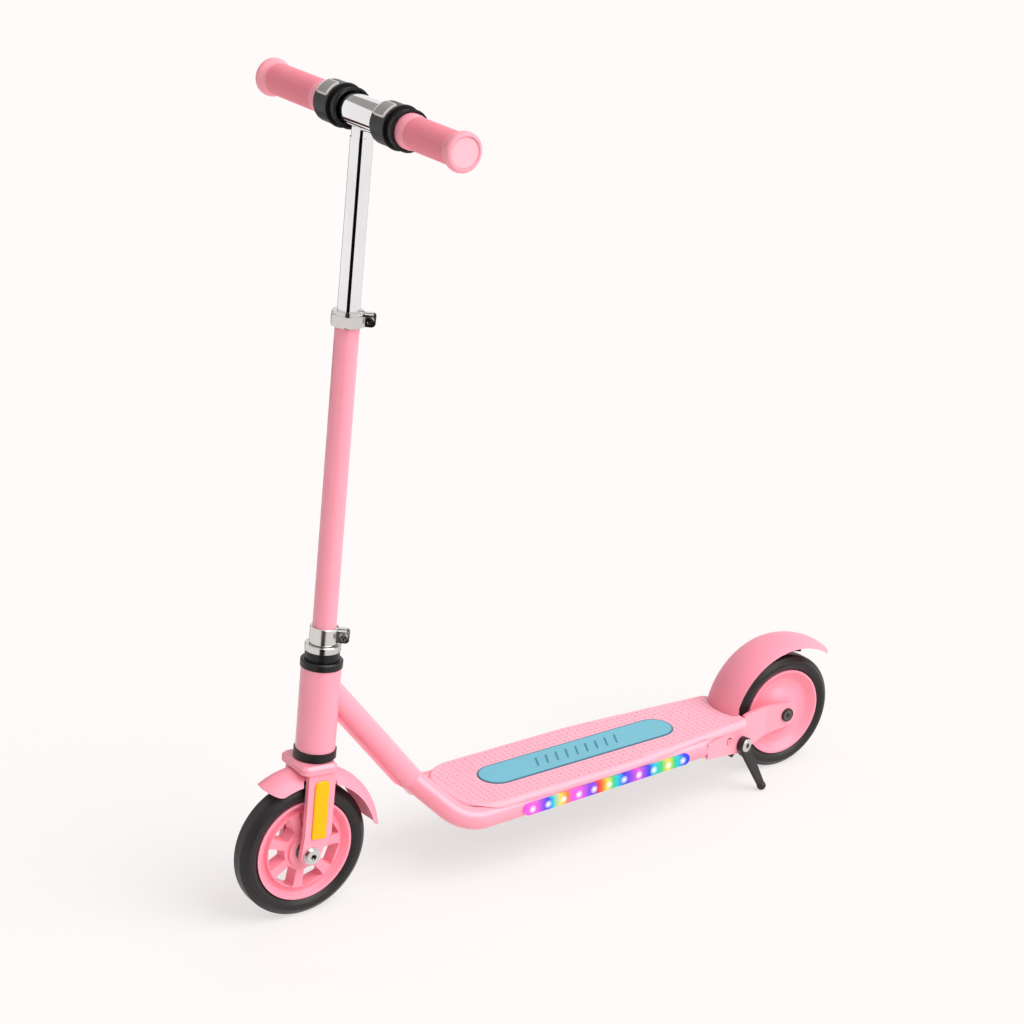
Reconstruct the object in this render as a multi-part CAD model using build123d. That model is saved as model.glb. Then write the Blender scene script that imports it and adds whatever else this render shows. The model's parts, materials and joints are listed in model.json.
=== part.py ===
"""Child's kick scooter with a sliding T-bar, plug-in grips, a step-on rear brake and light strips.

Millimetres. X points forward, Y to the rider's left and Z up. The origin is on the ground,
under the middle of the scooter. Pieces that steer are drawn upright about the steering axis and
then leaned back with it; wheels are drawn about their own axle.
"""
import os
from math import asin, atan2, cos, degrees, pi, radians, sin, sqrt

from build123d import *

# Stance
WHEELBASE = 624.5
RAKE = 5.1
AXLE_LEAD = 9.5
TAIL_REACH = 58.0

# Fits and gaps
FIT = 0.05
PLAY = 0.15
SEAT_GAP = 0.2
MOVE_GAP = 0.4

# Wheels
FRONT_TYRE_RADIUS = 72.75
REAR_TYRE_RADIUS = 67.0
FRONT_LIP_RADIUS = 54.5
REAR_LIP_RADIUS = 50.2
TYRE_HALF = 13.0
TREAD_HALF = 7.0
SHOULDER_DROP = 7.0
SIDEWALL_RISE = 5.5
BEAD_HALF = 9.0
LIP_HEIGHT = 4.0
LIP_THICK = 1.8
LIP_EDGE = 2.5
BED_WALL = 3.5
TYRE_ROUND = 4.0
SPOKE_COUNT = 7
SPOKE_WIDTH = 8.0
SPOKE_HALF_DEPTH = 8.0
SPOKE_PHASE = 44.4
DISH_WIDTH = 13.0
GROOVE_HALF = 3.2
GROOVE_EDGE = 1.5
WINDOW_ROUND = 2.2
HUB_RADIUS = 18.0
HUB_HALF = 11.0
DISC_HALF = 3.5
DOME_RADIUS = 25.0
DOME_FACE = 13.0
DISH_ROUND = 7.0
BEARING_RADIUS = 11.0
BEARING_WIDTH = 7.0
SHIELD_DEPTH = 0.6
HUB_CORE_RADIUS = 8.0
AXLE_RADIUS = 3.95
SPACER_RADIUS = 6.0
FRONT_SPACER_RADIUS = 8.6

# Fork and front fender
LEG_INNER = 17.5
LEG_THICK = 6.0
LEG_END_RADIUS = 11.5
LEG_TOP_HALF = 15.5
LEG_TOP_CENTRE = 3.0
LEG_KNEE = 22.0
CROWN_THICK = 8.5
CROWN_HALF = 26.0
CROWN_BACK = 15.0
CROWN_FRONT = 26.0
CROWN_ROUND = 8.0
CROWN_BEVEL = 3.0
RACE_RADIUS = 14.0
RACE_HEIGHT = 5.0
STEERER_RADIUS = 11.1
STEERER_BORE = 8.6
STEERER_TOP = 278.0
FENDER_RADIUS = 90.0
FENDER_DROP = 13.0
FENDER_THICK = 2.5
FENDER_HALF = 21.0
FENDER_FRONT_ANGLE = 56.0
FENDER_REAR_ANGLE = 172.0
FENDER_FRONT_ROUND = 11.0
FENDER_REAR_ROUND = 16.0
TRIM_ANGLE = 2.0
REFLECTOR_BOTTOM = 17.5
REFLECTOR_TOP = 81.0
REFLECTOR_HALF = 8.2
REFLECTOR_THICK = 3.0
REFLECTOR_SUNK = 1.2
REFLECTOR_ROUND = 1.5
REFLECTOR_TOP_ROUND = 5.0
REFLECTOR_BEVEL = 0.8

# Axle fasteners
FLANGE_RADIUS = 9.4
FLANGE_THICK = 2.0
HEAD_RADIUS = 7.6
HEAD_HEIGHT = 3.0
SOCKET_ACROSS = 6.0
SOCKET_DEPTH = 2.5
NUT_ACROSS = 13.0
NUT_HEIGHT = 6.5
CAP_RADIUS = 7.8
CAP_LENGTH = 2.6

# Head tube and headset
HEAD_RADIUS_TUBE = 20.4
HEAD_BORE = 18.4
HEAD_TOP = 197.6
SKIRT_HEIGHT = 9.6
CUP_INSERT = 10.0
CUP_BEVEL = 1.2
CUP_SHELF_RADIUS = 12.5
LOWER_CUP_RADIUS = 21.8
UPPER_CUP_RADIUS = 21.5
UPPER_CUP_TIP_RADIUS = 17.6
UPPER_CUP_FLANGE = 7.6
UPPER_CUP_HEIGHT = 17.0
UPPER_BEARING_RISE = 6.0
HEADSET_BEARING_RADIUS = 15.9
HEADSET_BEARING_HEIGHT = 8.0
LOCKNUT_RADIUS = 18.3
LOCKNUT_HEIGHT = 6.7
LOCKNUT_BOSS_RADIUS = 14.0

# Stem, clamps and handlebar
STEM_RADIUS = 12.0
STEM_BORE = 11.2
CLAMP_RADIUS = 14.3
CLAMP_HEIGHT = 18.0
HEIGHT_CLAMP_TOP = 563.0
HEIGHT_CLAMP_HEIGHT = 15.0
HEIGHT_CLAMP_RADIUS = 15.5
STEM_IN_CLAMP = 4.0
HEIGHT_CLAMP_ACROSS = 32.0
HEX_HEIGHT = 10.5
CLAMP_SLIT = 2.4
EAR_REACH = 11.5
EAR_HALF = 6.5
EAR_HEIGHT = 12.0
EAR_DIRECTION = 145.0
EAR_ROUND = 4.0
CLAMP_ROUND = 1.2
CLAMP_BOLT_RADIUS = 2.4
CLAMP_BOLT_HEAD = 4.2
BAR_TUBE_RADIUS = 11.1
BAR_TUBE_BORE = 9.4
BAR_TUBE_BOTTOM = 436.0
BAR_HEIGHT = 753.0
CROSS_RADIUS = 16.0
CROSS_BORE = 11.2
NECK_RADIUS = 10.3
NECK_LENGTH = 6.5
BAR_HALF = 172.5

# Collars, release buttons and grips
LEFT_COLLAR_Y = 41.0
RIGHT_COLLAR_Y = -60.0
COLLAR_RING = 2.5
COLLAR_RING_RADIUS = 19.5
COLLAR_BODY = 22.5
COLLAR_BODY_RADIUS = 20.8
COLLAR_BEAD = 2.0
COLLAR_BEAD_RADIUS = 21.7
COLLAR_BARREL = 8.0
COLLAR_BARREL_RADIUS = 18.5
CUP_LENGTH = 5.5
CUP_LIP_RADIUS = 20.2
CUP_BORE = 17.3
BUTTON_TILT = 39.0
BUTTON_LENGTH = 18.5
BUTTON_WIDTH = 18.0
BUTTON_FOOT = 18.4
BUTTON_CROWN = 22.3
BUTTON_TRAVEL = 2.0
BUTTON_ROUND = 2.5
COLLAR_ROUND = 0.8
GRIP_RADIUS = 16.0
GRIP_TUBE_RADIUS = 11.1
GRIP_TUBE_BORE = 9.0
GRIP_TUBE_INSERT = 37.0
GRIP_FLANGE_RADIUS = 16.9
GRIP_FLANGE = 3.0
GRIP_END_RADIUS = 19.0
GRIP_END_LENGTH = 9.0
END_DISC_RADIUS = 14.5
END_DISC_THICK = 2.0
END_DISC_SUNK = 0.8

# Frame and deck
DOWN_TUBE_RADIUS = 12.2
TUBE_WALL = 2.0
DOWN_TUBE_TOP = 183.0
NOSE_X = 490.0
NOSE_Z = 112.0
NOSE_SOLID = 36.0
STRIP_TAPER = 14.0
STRIP_THICK = 4.0
STRIP_PROUD = 4.0
RAIL_RADIUS = 12.0
RAIL_Y = 40.5
RAIL_Z = 73.0
RAIL_CORNER_X = 455.0
RAIL_CORNER_OUT = 8.0
RAIL_BEND = 40.0
RAIL_END_X = 140.0
PLATE_THICK = 4.2
PLATE_BEND_X = 30.0
PLATE_AXLE_Y = 19.0
PLATE_TOP = 79.8
PLATE_HUMP_TOP = 88.5
PLATE_HUMP_X = 62.0
PLATE_FRONT_BOTTOM = 62.0
PLATE_END_RADIUS = 14.0
DECK_TOP = 88.0
DECK_EDGE_BOTTOM = 80.5
DECK_HALF = 56.5
DECK_FRONT_X = 452.0
DECK_REAR_X = 72.0
DECK_REAR_HALF = 40.0
DECK_TAPER_X = 250.0
DECK_TAPER_ROUND = 600.0
DECK_WALL = 4.0
DECK_PLATE = 2.8
DECK_CORNER = 42.0
DECK_ROUND = 2.5
DECK_EDGE_ROUND = 4.5
DECK_TAIL_ROUND = 10.0
DECK_GAP = 0.8
DECK_RIB = 2.0
DECK_RIB_PITCH = 42.0
DECK_RIB_BOTTOM = 81.2
PAD_REAR_X = 154.0
PAD_FRONT_X = 404.0
PAD_WIDTH = 43.0
PAD_SUNK = 1.2
PAD_PROUD = 0.8
PAD_GAP = 0.5
PAD_RIBS = 9
PAD_RIB_PITCH = 13.0
PAD_RIB_LENGTH = 19.0
PAD_RIB_WIDTH = 1.6
PAD_RIB_HEIGHT = 0.6
PAD_RIB_SLANT = 25.0

# Under cover, lights and batteries
PAN_REAR_X = 152.0
PAN_FRONT_X = 428.0
PAN_BOTTOM = 62.5
PAN_WALL = 2.0
PAN_GAP = 0.5
DOOR_X = 265.0
DOOR_LENGTH = 72.0
DOOR_WIDTH = 50.0
SCREW_RADIUS = 1.6
SCREW_HEAD_RADIUS = 3.2
SCREW_HEAD = 1.5
SCREW_LENGTH = 9.0
BOSS_RADIUS = 4.2
SCREW_INSET = 5.5
CELL_RADIUS = 7.1
CELL_LENGTH = 50.5
CELL_PITCH = 15.2
CELL_COUNT = 3
LENS_REAR_X = 168.0
LENS_FRONT_X = 390.0
LENS_HEIGHT = 13.0
LENS_RISE = 0.4
LENS_DEPTH = 3.6
LENS_WALL = 1.1
LENS_SEAT = 0.2
BOARD_THICK = 1.0
LIGHT_COUNT = 11
LIGHT_SIZE = 5.0
LIGHT_HEIGHT = 0.9

# Rear brake
BRAKE_RADIUS = 90.0
BRAKE_DROP = 7.5
BRAKE_THICK = 3.0
BRAKE_HALF = 26.5
BRAKE_BASE_ANGLE = 10.5
BRAKE_BASE_GAP = 0.6
BRAKE_TAIL_ROUND = 18.0
BRAKE_TAIL_EXTRA = 8.0
BRAKE_NOTCH = 2.5
PIN_SET_IN = 15.5
BRAKE_PIN_Z = 74.0
BRAKE_PIN_RADIUS = 2.5
LUG_INNER = 14.0
LUG_THICK = 4.5
LUG_RADIUS = 5.0
LUG_SPREAD = 12.0
LUG_BITE = 0.6
EAR_THICK = 3.5
EAR_GAP = 0.6
BRIDGE_AHEAD = 8.5
BRIDGE_THICK = 4.0
BRIDGE_BOTTOM = 66.0
BLOCK_GAP = 5.8
BLOCK_HALF = 10.0
BLOCK_START = 78.0
BLOCK_END = 108.0
SPRING_RADIUS = 3.6
SPRING_WIRE = 0.8
SPRING_TURNS = 5
SPRING_PITCH = 4.4

# Kickstand and light button
STAND_X = 77.0
STAND_Z = 57.0
STAND_BOSS = 11.0
STAND_FOOT_X = 62.0
STAND_FOOT_CLEAR = 0.4
STAND_HUB_RADIUS = 9.0
STAND_HUB_THICK = 6.5
STAND_LEG_HALF = 8.0
STAND_TOE_HALF = 4.0
STAND_LEG_DEPTH = 4.4
STAND_SPLAY = 17.0
STAND_TOE = 5.2
BRACKET_THICK = 3.0
BRACKET_REACH = 30.0
BRACKET_TIP_DROP = 1.0
BRACKET_HEEL = 10.0
BRACKET_HEEL_DROP = 15.0
STAND_BOLT_RADIUS = 4.0
STAND_BOLT_HEAD = 7.8
LIGHT_BUTTON_X = 100.0
LIGHT_BUTTON_Z = 69.0
LIGHT_BUTTON_LENGTH = 9.5
LIGHT_BUTTON_HEIGHT = 7.0
LIGHT_BUTTON_REST = 0.3
LIGHT_BUTTON_TRAVEL = 1.0
BUTTON_FLANGE = 1.5

# Places that follow from the sizes above
REAR_X = (max(TAIL_REACH, REAR_TYRE_RADIUS) - WHEELBASE - FRONT_TYRE_RADIUS) / 2
LEAN = radians(RAKE)
STEER_X = WHEELBASE - AXLE_LEAD * cos(LEAN)
STEER_Z = FRONT_TYRE_RADIUS - AXLE_LEAD * sin(LEAN)
STEER_FORWARD = (cos(LEAN), 0, sin(LEAN))
STEER_UP = (-sin(LEAN), 0, cos(LEAN))
STEERING = Plane(origin=(STEER_X, 0, STEER_Z), x_dir=STEER_FORWARD, z_dir=STEER_UP)
REAR_HUB = Pos(0, 0, REAR_TYRE_RADIUS)
LEG_OUTER = LEG_INNER + LEG_THICK
CROWN_BOTTOM = FENDER_RADIUS + SEAT_GAP
CROWN_TOP = CROWN_BOTTOM + CROWN_THICK
RACE_TOP = CROWN_TOP + RACE_HEIGHT
CUP_BOTTOM = CROWN_TOP + MOVE_GAP
HEAD_BOTTOM = CUP_BOTTOM + SKIRT_HEIGHT
BEARING_BORE = HEADSET_BEARING_RADIUS + FIT
UPPER_BEARING_BOTTOM = HEAD_TOP + UPPER_BEARING_RISE
UPPER_CUP_TOP = HEAD_TOP + UPPER_CUP_HEIGHT
LOCKNUT_BOTTOM = UPPER_CUP_TOP + MOVE_GAP
LOCKNUT_TOP = LOCKNUT_BOTTOM + LOCKNUT_HEIGHT
STEM_BOTTOM = LOCKNUT_TOP + SEAT_GAP
HEIGHT_CLAMP_BOTTOM = HEIGHT_CLAMP_TOP - HEIGHT_CLAMP_HEIGHT
STEM_TOP = HEIGHT_CLAMP_BOTTOM + STEM_IN_CLAMP
RAIL_OUTER = RAIL_Y + RAIL_RADIUS
RAIL_LEAN = atan2(RAIL_CORNER_OUT, RAIL_CORNER_X - RAIL_END_X)
RIM_HALF = BEAD_HALF + LIP_THICK
COLLAR_CUP = COLLAR_RING + COLLAR_BODY + COLLAR_BEAD + COLLAR_BARREL
COLLAR_END = COLLAR_CUP + CUP_LENGTH
CROSS_LEFT = LEFT_COLLAR_Y + COLLAR_CUP
CROSS_RIGHT = RIGHT_COLLAR_Y
BRAKE_PIN_X = BRAKE_RADIUS - PIN_SET_IN
BRIDGE_X = BRAKE_PIN_X + BRIDGE_AHEAD
PLATE_ANGLE = atan2(RAIL_OUTER - PLATE_AXLE_Y, RAIL_END_X - PLATE_BEND_X)
BACK = (Align.CENTER, Align.CENTER, Align.MIN)


def bar(radius, low, high):
    """Round bar about Z from one height to another."""
    return Pos(0, 0, low) * Cylinder(radius, high - low, align=BACK)


def bar_y(radius, near, far):
    """Round bar about Y from one place on it to another."""
    return Pos(0, near, 0) * Rot(-90, 0, 0) * Cylinder(radius, far - near, align=BACK)


def pipe(radius, bore, low, high):
    """Tube about Z."""
    return bar(radius, low, high) - bar(bore, low, high)


def pipe_y(radius, bore, near, far):
    """Tube about Y."""
    return bar_y(radius, near, far) - bar_y(bore, near, far)


def outline(points, rounds=None):
    """Flat face through corner points; rounds gives some corners, by number, a radius."""
    face = make_face(Polyline(*points, close=True))
    for corner, radius in (rounds or {}).items():
        nearest = face.vertices().sort_by_distance(points[corner])[0]
        face = fillet(nearest, radius)
    return face


def lathe(points, rounds=None):
    """Ring turned about Y from (place along Y, radius) corners."""
    return revolve(Plane.YZ * outline(points, rounds), Axis.Y)


def turned(points, rounds=None):
    """Ring turned about Z from (radius, height) corners."""
    return revolve(Plane.XZ * outline(points, rounds), Axis.Z)


def prism_y(face, near, far):
    """A face drawn in X and Z, made solid from one Y to another."""
    return Pos(0, near, 0) * extrude(Plane.XZ * face, amount=-(far - near))


def prism(face, low, high):
    """A face drawn in X and Y, made solid from one height to another."""
    return Pos(0, 0, low) * extrude(face, amount=high - low)


def both_sides(points):
    """Right-hand corners followed by their mirror images, as one closed outline."""
    return points + [(-y, r) for y, r in reversed(points)]


def mirrored(shape):
    """The same piece on the other side of the scooter."""
    return mirror(shape, about=Plane.XZ)


def plate_y(x):
    """Outer face of the left dropout plate at a place along the scooter."""
    if x <= PLATE_BEND_X:
        return PLATE_AXLE_Y
    slope = (RAIL_OUTER - PLATE_AXLE_Y) / (RAIL_END_X - PLATE_BEND_X)
    return PLATE_AXLE_Y + (x - PLATE_BEND_X) * slope


def plate_plane(x, z):
    """Plane on the left dropout plate's outer face: X along the plate, forward; Z straight out."""
    along = (cos(PLATE_ANGLE), sin(PLATE_ANGLE), 0)
    out = (-sin(PLATE_ANGLE), cos(PLATE_ANGLE), 0)
    return Plane(origin=(x, plate_y(x), z), x_dir=along, z_dir=out)


def tyre(outer, lip):
    """Solid tyre: flat tread, rounded shoulders, and beads between the rim's lips."""
    right = [
        (BEAD_HALF, lip - LIP_HEIGHT),
        (BEAD_HALF, lip),
        (TYRE_HALF, lip + SIDEWALL_RISE),
        (TYRE_HALF, outer - SHOULDER_DROP),
        (TREAD_HALF, outer),
    ]
    corners = both_sides(right)
    soft = [2, 3, 4, 5, 6, 7]
    return lathe(corners, {corner: TYRE_ROUND for corner in soft})


def rim(lip, web, soft=None):
    """Wheel rim: tyre bed with lips, and a web whose right-hand corners run in to the bearing seats."""
    bed = lip - LIP_HEIGHT - FIT
    right = web + [
        (RIM_HALF, lip - LIP_EDGE),
        (RIM_HALF, lip),
        (BEAD_HALF + FIT, lip),
        (BEAD_HALF + FIT, bed),
    ]
    rounds = {}
    for corner, radius in (soft or {}).items():
        rounds[corner] = radius
        rounds[2 * len(right) - 1 - corner] = radius
    return lathe(both_sides(right), rounds)


def hub_corners(face):
    """Corners of the hub's core and bearing seat, from the middle out to its end face."""
    return [
        (face - BEARING_WIDTH - FIT, HUB_CORE_RADIUS),
        (face - BEARING_WIDTH - FIT, BEARING_RADIUS + FIT),
        (face, BEARING_RADIUS + FIT),
    ]


def spoked_rim():
    """Front rim with deep trapezoid windows between its spokes, and a groove inside its lip."""
    dish = FRONT_LIP_RADIUS - LIP_HEIGHT - BED_WALL
    inner = HUB_RADIUS + SPOKE_WIDTH / 2
    outer = dish - DISH_WIDTH / 2
    web = hub_corners(HUB_HALF) + [
        (HUB_HALF, HUB_RADIUS),
        (SPOKE_HALF_DEPTH, HUB_RADIUS),
        (SPOKE_HALF_DEPTH, outer + GROOVE_EDGE),
        (GROOVE_HALF, outer + 2 * GROOVE_EDGE),
        (GROOVE_HALF, dish),
    ]
    half_step = radians(180 / SPOKE_COUNT)
    narrow = inner * sin(half_step) - SPOKE_WIDTH / 2
    wide = outer * sin(half_step) - SPOKE_WIDTH / 2
    window = [(inner, -narrow), (outer, -wide), (outer, wide), (inner, narrow)]
    rounds = {1: WINDOW_ROUND, 2: WINDOW_ROUND}
    cutter = prism_y(outline(window, rounds), -HUB_HALF, HUB_HALF)
    body = rim(FRONT_LIP_RADIUS, web)
    for spoke in range(SPOKE_COUNT):
        body -= Rot(0, -SPOKE_PHASE - spoke * 360 / SPOKE_COUNT, 0) * cutter
    return body


def dished_rim():
    """Rear rim with a closed disc that runs smoothly from a domed hub out to the lip."""
    dish = REAR_LIP_RADIUS - LIP_HEIGHT - BED_WALL
    hub = hub_corners(DOME_FACE)
    web = hub + [
        (DOME_FACE, BEARING_RADIUS + LIP_THICK),
        (DOME_FACE - LIP_EDGE, DOME_RADIUS - LIP_HEIGHT),
        (DISC_HALF, DOME_RADIUS + LIP_HEIGHT),
        (DISC_HALF, dish - LIP_HEIGHT),
    ]
    soft = {corner: DISH_ROUND for corner in range(len(hub) + 1, len(web))}
    return rim(REAR_LIP_RADIUS, web, soft)


def bearing():
    """Ball bearing as a ring with sunk shields, centred on its axle."""
    half = BEARING_WIDTH / 2
    inner = AXLE_RADIUS + FIT
    step = (BEARING_RADIUS - inner) / 4
    right = [
        (half, inner),
        (half, inner + step),
        (half - SHIELD_DEPTH, inner + step),
        (half - SHIELD_DEPTH, BEARING_RADIUS - step),
        (half, BEARING_RADIUS - step),
        (half, BEARING_RADIUS),
    ]
    return lathe(both_sides(right))


def bearing_pair(face):
    """Two bearings, one at each end of a hub."""
    middle = face - BEARING_WIDTH / 2
    return Compound([Pos(0, side * middle, 0) * bearing() for side in (1, -1)])


def bearing_spacer(face):
    """Tube that keeps a hub's two bearings apart."""
    half = face - BEARING_WIDTH - FIT
    return pipe_y(SPACER_RADIUS, AXLE_RADIUS + FIT, -half, half)


def axle_spacers(radius, face, seat):
    """Rings between the bearings and what holds the axle."""
    ring = pipe_y(radius, AXLE_RADIUS + FIT, face + PLAY, seat - FIT)
    return Compound([ring, mirrored(ring)])


def hexagon(across):
    """Hexagon, given the distance across its flats."""
    return RegularPolygon(across / 2, 6, major_radius=False)


def front_axle():
    """Axle bolt: flanged round head with a hexagon socket on the left."""
    seat = LEG_OUTER + FIT
    body = bar_y(AXLE_RADIUS, -LEG_OUTER - NUT_HEIGHT - FLANGE_THICK, seat)
    body += bar_y(FLANGE_RADIUS, seat, seat + FLANGE_THICK)
    top = seat + FLANGE_THICK + HEAD_HEIGHT
    body += bar_y(HEAD_RADIUS, seat + FLANGE_THICK, top)
    body -= prism_y(hexagon(SOCKET_ACROSS), top - SOCKET_DEPTH, top)
    return body


def front_axle_nut():
    """Flanged hexagon nut on the right end of the front axle."""
    seat = -LEG_OUTER - FIT
    body = bar_y(FLANGE_RADIUS, seat - FLANGE_THICK, seat)
    body += prism_y(hexagon(NUT_ACROSS), seat - NUT_HEIGHT, seat)
    return body - bar_y(AXLE_RADIUS + FIT, seat - NUT_HEIGHT, seat)


def reflector_face(grow):
    """Reflector outline on a fork leg, rounder at its top, with its edge moved out by a gap."""
    low, high = REFLECTOR_BOTTOM - grow, REFLECTOR_TOP + grow
    back, front = LEG_TOP_CENTRE - REFLECTOR_HALF - grow, LEG_TOP_CENTRE + REFLECTOR_HALF + grow
    points = [(back, low), (front, low), (front, high), (back, high)]
    foot, top = REFLECTOR_ROUND + grow, REFLECTOR_TOP_ROUND + grow
    return outline(points, {0: foot, 1: foot, 2: top, 3: top})


def fork_leg():
    """Left fork leg: plate with a round axle end, a knee at its back and a seat for the reflector."""
    back, front = LEG_TOP_CENTRE - LEG_TOP_HALF, LEG_TOP_CENTRE + LEG_TOP_HALF
    top = CROWN_BOTTOM + CROWN_BEVEL
    points = [
        (AXLE_LEAD - LEG_END_RADIUS, 0),
        (AXLE_LEAD + LEG_END_RADIUS, 0),
        (front, LEG_KNEE),
        (front, top),
        (back, top),
        (back, LEG_KNEE),
    ]
    leg = prism_y(outline(points), LEG_INNER, LEG_OUTER)
    leg += Pos(AXLE_LEAD, 0, 0) * bar_y(LEG_END_RADIUS, LEG_INNER, LEG_OUTER)
    leg -= prism_y(reflector_face(PLAY), LEG_OUTER - REFLECTOR_SUNK, LEG_OUTER)
    return leg - Pos(AXLE_LEAD, 0, 0) * bar_y(AXLE_RADIUS + FIT, LEG_INNER, LEG_OUTER)


def fork():
    """Fork: bevelled crown block, two legs, bearing race and hollow steerer tube."""
    crown_points = [
        (-CROWN_BACK, -CROWN_HALF),
        (CROWN_FRONT, -CROWN_HALF),
        (CROWN_FRONT, CROWN_HALF),
        (-CROWN_BACK, CROWN_HALF),
    ]
    rounds = {corner: CROWN_ROUND for corner in range(len(crown_points))}
    crown = prism(outline(crown_points, rounds), CROWN_BOTTOM, CROWN_TOP)
    crown = chamfer(crown.edges().group_by(Axis.Z)[-1], CROWN_BEVEL)
    leg = fork_leg()
    body = crown + leg + mirrored(leg)
    body += bar(RACE_RADIUS, CROWN_TOP, RACE_TOP)
    body += bar(STEERER_RADIUS, CROWN_TOP, STEERER_TOP)
    return body - bar(STEERER_BORE, CROWN_TOP, STEERER_TOP)


def arched_band(radius, drop, thick, half, start, end):
    """Curved band about Y, highest along its middle; angles run from forward over the top."""
    edge = radius - drop
    inside = half - thick
    top = ThreePointArc((-half, edge), (0, radius), (half, edge))
    right = Line((half, edge), (inside, edge))
    low = ThreePointArc((inside, edge), (0, radius - thick), (-inside, edge))
    left = Line((-inside, edge), (-half, edge))
    section = make_face(Wire([top, right, low, left]))
    band = revolve(Plane.YZ * section, Axis.Y, end - start)
    return Rot(0, 90 - end, 0) * band


def end_trim(radius, angle, half, corner, way):
    """Cutter that ends a band at an angle and rounds its corners; way is 1 at its rear end, else -1."""
    keep = [(-2 * corner, -half), (0, -half), (0, half), (-2 * corner, half)]
    reach = half + corner
    whole = [(-corner, -reach), (corner, -reach), (corner, reach), (-corner, reach)]
    cutter = outline(whole) - outline(keep, {1: corner, 2: corner})
    out = (cos(radians(angle)), 0, sin(radians(angle)))
    along = (-way * out[2], 0, way * out[0])
    place = Plane(origin=Vector(*out) * radius, x_dir=along, z_dir=out)
    return place * extrude(cutter, amount=corner, both=True)


def front_fender():
    """Front fender: arched band over the wheel with round ends, notched for the fork legs."""
    start, end = FENDER_FRONT_ANGLE - TRIM_ANGLE, FENDER_REAR_ANGLE + TRIM_ANGLE
    band = arched_band(FENDER_RADIUS, FENDER_DROP, FENDER_THICK, FENDER_HALF, start, end)
    band -= end_trim(FENDER_RADIUS, FENDER_FRONT_ANGLE, FENDER_HALF, FENDER_FRONT_ROUND, -1)
    band -= end_trim(FENDER_RADIUS, FENDER_REAR_ANGLE, FENDER_HALF, FENDER_REAR_ROUND, 1)
    beside = (Align.CENTER, Align.MIN, Align.CENTER)
    notch = Box(2 * (LEG_TOP_HALF + SEAT_GAP), FENDER_HALF, 2 * CROWN_TOP, align=beside)
    notch = Pos(LEG_TOP_CENTRE, LEG_INNER - SEAT_GAP, 0) * notch
    return Pos(AXLE_LEAD, 0, 0) * band - notch - mirrored(notch)


def reflector():
    """Amber reflector on the left fork leg, with a bevelled face."""
    foot = LEG_OUTER - REFLECTOR_SUNK + FIT
    body = prism_y(reflector_face(0), foot, foot + REFLECTOR_THICK)
    return chamfer(body.faces().sort_by(Axis.Y)[-1].edges(), REFLECTOR_BEVEL)


def lower_cup():
    """Lower headset cup: black skirt under the head tube, pressed into its bore."""
    shelf = RACE_TOP + HEADSET_BEARING_HEIGHT + MOVE_GAP
    points = [
        (BEARING_BORE, CUP_BOTTOM),
        (LOWER_CUP_RADIUS - CUP_BEVEL, CUP_BOTTOM),
        (LOWER_CUP_RADIUS, CUP_BOTTOM + CUP_BEVEL),
        (LOWER_CUP_RADIUS, HEAD_BOTTOM - FIT),
        (HEAD_BORE - FIT, HEAD_BOTTOM - FIT),
        (HEAD_BORE - FIT, HEAD_BOTTOM + CUP_INSERT),
        (CUP_SHELF_RADIUS, HEAD_BOTTOM + CUP_INSERT),
        (CUP_SHELF_RADIUS, shelf),
        (BEARING_BORE, shelf),
    ]
    return turned(points)


def upper_cup():
    """Upper headset cup: black flange on the head tube and a neck up to the locknut."""
    waist = HEAD_TOP + UPPER_CUP_FLANGE
    points = [
        (CUP_SHELF_RADIUS, HEAD_TOP - CUP_INSERT),
        (HEAD_BORE - FIT, HEAD_TOP - CUP_INSERT),
        (HEAD_BORE - FIT, HEAD_TOP + FIT),
        (UPPER_CUP_RADIUS, HEAD_TOP + FIT),
        (UPPER_CUP_RADIUS, waist - CUP_BEVEL),
        (UPPER_CUP_RADIUS - CUP_BEVEL, waist),
        (UPPER_CUP_TIP_RADIUS, waist),
        (UPPER_CUP_TIP_RADIUS, UPPER_CUP_TOP),
        (BEARING_BORE, UPPER_CUP_TOP),
        (BEARING_BORE, UPPER_BEARING_BOTTOM - MOVE_GAP),
        (CUP_SHELF_RADIUS, UPPER_BEARING_BOTTOM - MOVE_GAP),
    ]
    return turned(points)


def headset_bearings():
    """Lower and upper steering bearings on the steerer tube."""
    bore = STEERER_RADIUS + FIT
    low = pipe(HEADSET_BEARING_RADIUS, bore, RACE_TOP + FIT, RACE_TOP + HEADSET_BEARING_HEIGHT)
    top = UPPER_BEARING_BOTTOM + HEADSET_BEARING_HEIGHT
    return Compound([low, pipe(HEADSET_BEARING_RADIUS, bore, UPPER_BEARING_BOTTOM, top)])


def locknut():
    """Silver ring nut that closes the headset, with a boss down onto the upper bearing."""
    boss = UPPER_BEARING_BOTTOM + HEADSET_BEARING_HEIGHT + FIT
    body = bar(LOCKNUT_BOSS_RADIUS, boss, LOCKNUT_BOTTOM)
    body += bar(LOCKNUT_RADIUS, LOCKNUT_BOTTOM, LOCKNUT_TOP)
    body = fillet(body.edges().group_by(Axis.Z)[-1], CUP_BEVEL)
    return body - bar(STEERER_RADIUS + FIT, boss, LOCKNUT_TOP)


def clamp_ears(radius, middle):
    """Two ears of a clamp, facing one way out from its ring."""
    reach = radius + EAR_REACH
    block = Pos(reach / 2, 0, middle) * Box(reach, 2 * EAR_HALF, EAR_HEIGHT)
    return Rot(0, 0, EAR_DIRECTION) * fillet(block.edges().filter_by(Axis.Y), EAR_ROUND)


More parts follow.
